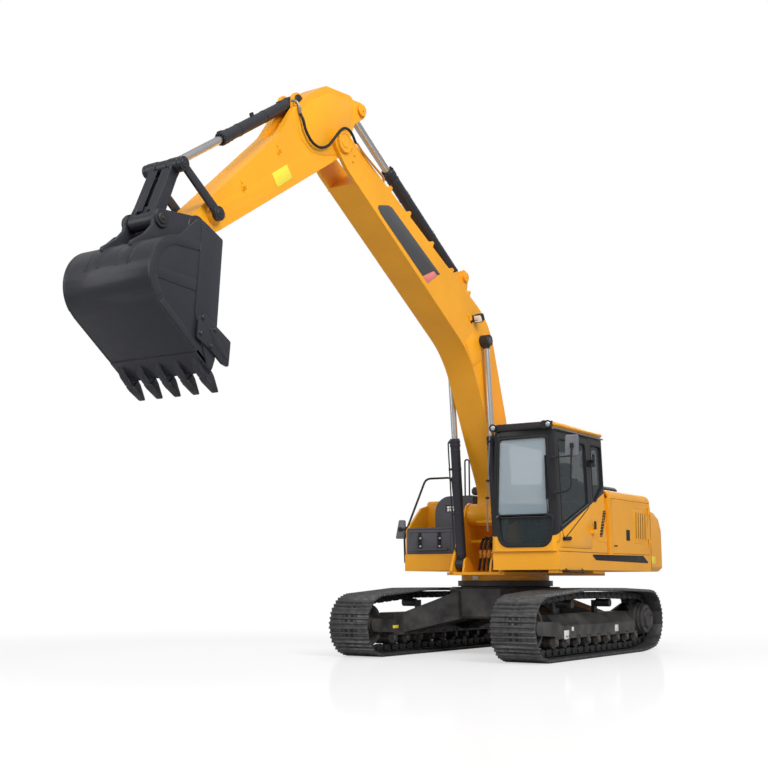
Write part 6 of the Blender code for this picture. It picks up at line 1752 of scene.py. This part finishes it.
# Fittings on the tool box's front and on the tank, as plates, rings, bars and turned knobs
def makeRight():
    x, face = right["front"], right["lamp"]
    for node, width in (
        ("tool_box", 0.006), ("tool_box_lid", 0.004), ("lamp_fairing", 0.010), ("fuel_tank", 0.008),
        ("handrail", 0.0)
    ):
        softened(node, "soft." + node, slotOf[node], width)
    rim = [(0.012, -0.001), (0.010, 0.010), (-0.018, 0.012), (-0.026, -0.001)]
    grey = joined(
        onFront(ringOn(rounded(rect(-1.290, -0.470, 1.385, 1.680), 0.03, 4), rim), x),
        frontPlate(rect(-1.225, -0.600, 1.415, 1.655), 0.02, 4, -0.001, 0.006, 0.003, x),
        frontPlate(
            [(-1.280, 1.400), (-0.520, 1.400), (-0.540, 1.412), (-1.260, 1.412)], 0.004, 2, 0.006, 0.022,
            0.003, x
        ),
        block((0.455, 0.520), (-1.12, -0.64), (1.405, 1.418), 0.003),
    )
    treads = joined(
        block((0.14 + 0.055 * k, 0.156 + 0.055 * k), (-1.20, -0.55), (1.7235, 1.7280), 0.001)
        for k in range(6)
    )
    piece("lidTreads", [(treads, "grey_plastic")], "tool_box_lid")
    dark = [tube([(x + 0.026, -1.225, z), (x + 0.026, -0.600, z)], 0.011, 10) for z in (1.616, 1.532)]
    for y in right["straps"]:
        strap = [(y - 0.024, 1.425), (y + 0.024, 1.425), (y + 0.018, 1.662), (y - 0.018, 1.662)]
        dark.append(frontPlate(strap, 0.008, 2, 0.004, 0.034, 0.004, x))
        for z in right["knobs"]:
            dark.append(lathe([(0, 0.022), (0.010, 0.020), (0.014, 0.012)], (x + 0.034, y, z), (1, 0, 0), 16))
    screw = [(0, 0.016), (0.010, 0.015), (0.014, 0.010)]
    bright = joined(lathe(screw, (x + 0.036, y + 0.012, z), (1, 0, 0), 12) for y, z in right["bolts"])
    rim = [(0.012, 0.0), (0.010, 0.006), (0.0, 0.006), (-0.004, -0.004)]
    dark.append(onFront(ringOn(rounded(rect(-0.900, -0.620, 1.960, 2.060), 0.012, 3), rim), 0.082))
    dark.append(frontPlate(rect(-0.895, -0.625, 1.965, 2.055), 0.010, 3, 0.0, 0.006, 0.002, face))
    cells = [
        rect(y, y + 0.044, z, z + 0.034) for y in (-0.885, -0.834, -0.783, -0.732, -0.681)
        for z in (1.972, 2.012)
    ]
    lens = joined(frontPlate(cell, 0.006, 2, 0.006, 0.012, 0.002, face) for cell in cells)
    rail = [(-0.42, -0.862, 2.13), (-0.42, -0.862, 2.76), (-0.42, -0.790, 2.76), (-0.42, -0.790, 2.13)]
    cap = [(0, 0.062), (0.020, 0.062), (0.026, 0.055), (0.026, 0.020)]
    dots = [(-0.95 + 0.09 * k, -1.25 + 0.085 * j, 2.1395) for k in range(9) for j in range(3)]
    black = joined(
        tube(rounded(rail, 0.03, 5, False), 0.012, 10, (1, 0, 0)),
        [lathe([(0, 0.034), (0.008, 0.034)], (-0.42, y, 2.139), (0, 0, 1), 16) for y in (-0.862, -0.790)],
        lathe([(-0.018, 0.024), (0.018, 0.024)], (-0.395, -1.05, 2.497), (1, 0, 0), 16),
        lathe(cap, (-0.55, -0.80, 2.188), (0, 0, 1), 28),
        [lathe([(0, 0.006), (0.003, 0.004)], spot, (0, 0, 1), 6) for spot in dots],
    )
    parts = [
        (grey, "grey_plastic"), (joined(dark), "black_plastic"), (bright, "pale steel"), (lens, "lamp lens")
    ]
    piece("rightTrim", parts + [(black, "black_paint")], "house")

    shell = [(-1.617, 1.587), (-1.452, 1.584), (-1.460, 1.855), (-1.560, 1.857)]
    shell = onFront(slab(rounded(shell, 0.018, 4), -0.032, 0.010, 0.010, 3), right["mirror"])
    glass = [(-1.602, 1.600), (-1.464, 1.598), (-1.470, 1.842), (-1.556, 1.844)]
    glass = frontPlate(glass, 0.014, 3, -0.0335, -0.031, 0.0005, right["mirror"])
    mount = joined(
        tube(
            smoothPath([(0.372, -1.388, 1.720), (0.350, -1.45, 1.722), (0.325, -1.53, 1.722)], 4), 0.011, 10
        ),
        lathe([(-0.03, 0.021), (0.03, 0.021)], (0.3735, -1.3885, 1.72), (0.34, 0.07, -0.65), 16),
        block((0.322, 0.336), (-1.56, -1.50), (1.695, 1.75), 0.004),
    )
    parts = [(shell, "mirror grey"), (glass, "mirror face"), (mount, "black_plastic")]
    piece("rightMirror", parts, "house", ("mirror_right",))


# The hoses rise in a half circle over a bar at the cross wall and end in fittings on the floor
def makeFootHoses():
    coupling = [
        (0, 0.0195), (0.004, 0.024), (0.030, 0.024), (0.034, 0.029), (0.070, 0.029), (0.074, 0.023),
        (0.106, 0.023), (0.110, 0.0195)
    ]
    fittings = joined(lathe(coupling, (0.461, y, 1.400), (0.08, 0, -1), 16) for y in right["hoses"])
    saddles = [block((0.298, 0.328), (y - 0.024, y + 0.024), (1.540, 1.566), 0.004) for y in right["hoses"]]
    bar = block((0.296, 0.330), (-0.352, 0.352), (1.500, 1.546), 0.005)
    points, faces = block((0.6105, 0.6145), (-0.055, 0.055), (0.996, 1.052), 0.0006)
    c, s = math.cos(math.radians(-13.8)), math.sin(math.radians(-13.8))
    label = np.stack(
        [c * points[:, 0] - s * points[:, 1], s * points[:, 0] + c * points[:, 1], points[:, 2]], -1
    ), faces
    parts = [(joined(bar, saddles), "orange_paint"), (fittings, "pipe orange"), (label, "white label")]
    piece("boomFootPipes", parts, "house")
    for k, y in enumerate(right["hoses"]):
        over = [(x, y, z) for x, z in arc((0.29, 1.405), 0.17, 180, 0, 6)]
        down = [(0.469, y, 1.300), (0.480, y * 1.05, 1.210), (0.488 + 0.01 * (k % 2), y * 1.1, 1.122)]
        hose("footHose%d" % (k + 1), [(0.088, y, 1.325)] + over + down, right["hoseSize"], "house")


# Blank labels on the left track frame and a plain yellow mark on the right one
def makeLabels():
    places = ((0.895, 1.040, 0.255, 0.365), (0.745, 0.810, 0.352, 0.402), (-0.72, -0.60, 0.300, 0.390))
    labels = joined(plank(rect(*place), 1.3595, 1.3620, 0.0004) for place in places)
    mark = plank(rect(1.18, 1.32, 0.352, 0.392), -1.021, -1.0185, 0.0004)
    piece("frameLabels", [(labels, "white label"), (mark, "pale yellow")], "undercarriage")


makeHouse()
makeRight()
makeFootHoses()
makeLabels()
print("house made")


# The nodes whose shape is right keep it, with merged doubles and rounded edges
for nodeName in sorted(frame["nodes"]):
    node = frame["nodes"][nodeName]
    node.data.materials.clear()
    # The upper windscreen takes the glass whose pale cover is a painted sky reflection
    node.data.materials.append(finishes["glass pale" if nodeName == "windscreen_upper" else slotOf[nodeName]])
softNodes = {
    "counterweight": 0.012, "revolving_frame": 0.008, "carbody": 0.008,
    "track_frame_left": 0.006, "track_frame_right": 0.006, "engine_block": 0.006,
}
for nodeName in softNodes:
    softened(nodeName, "soft." + nodeName, slotOf[nodeName], softNodes[nodeName])
print("frame's nodes dressed")
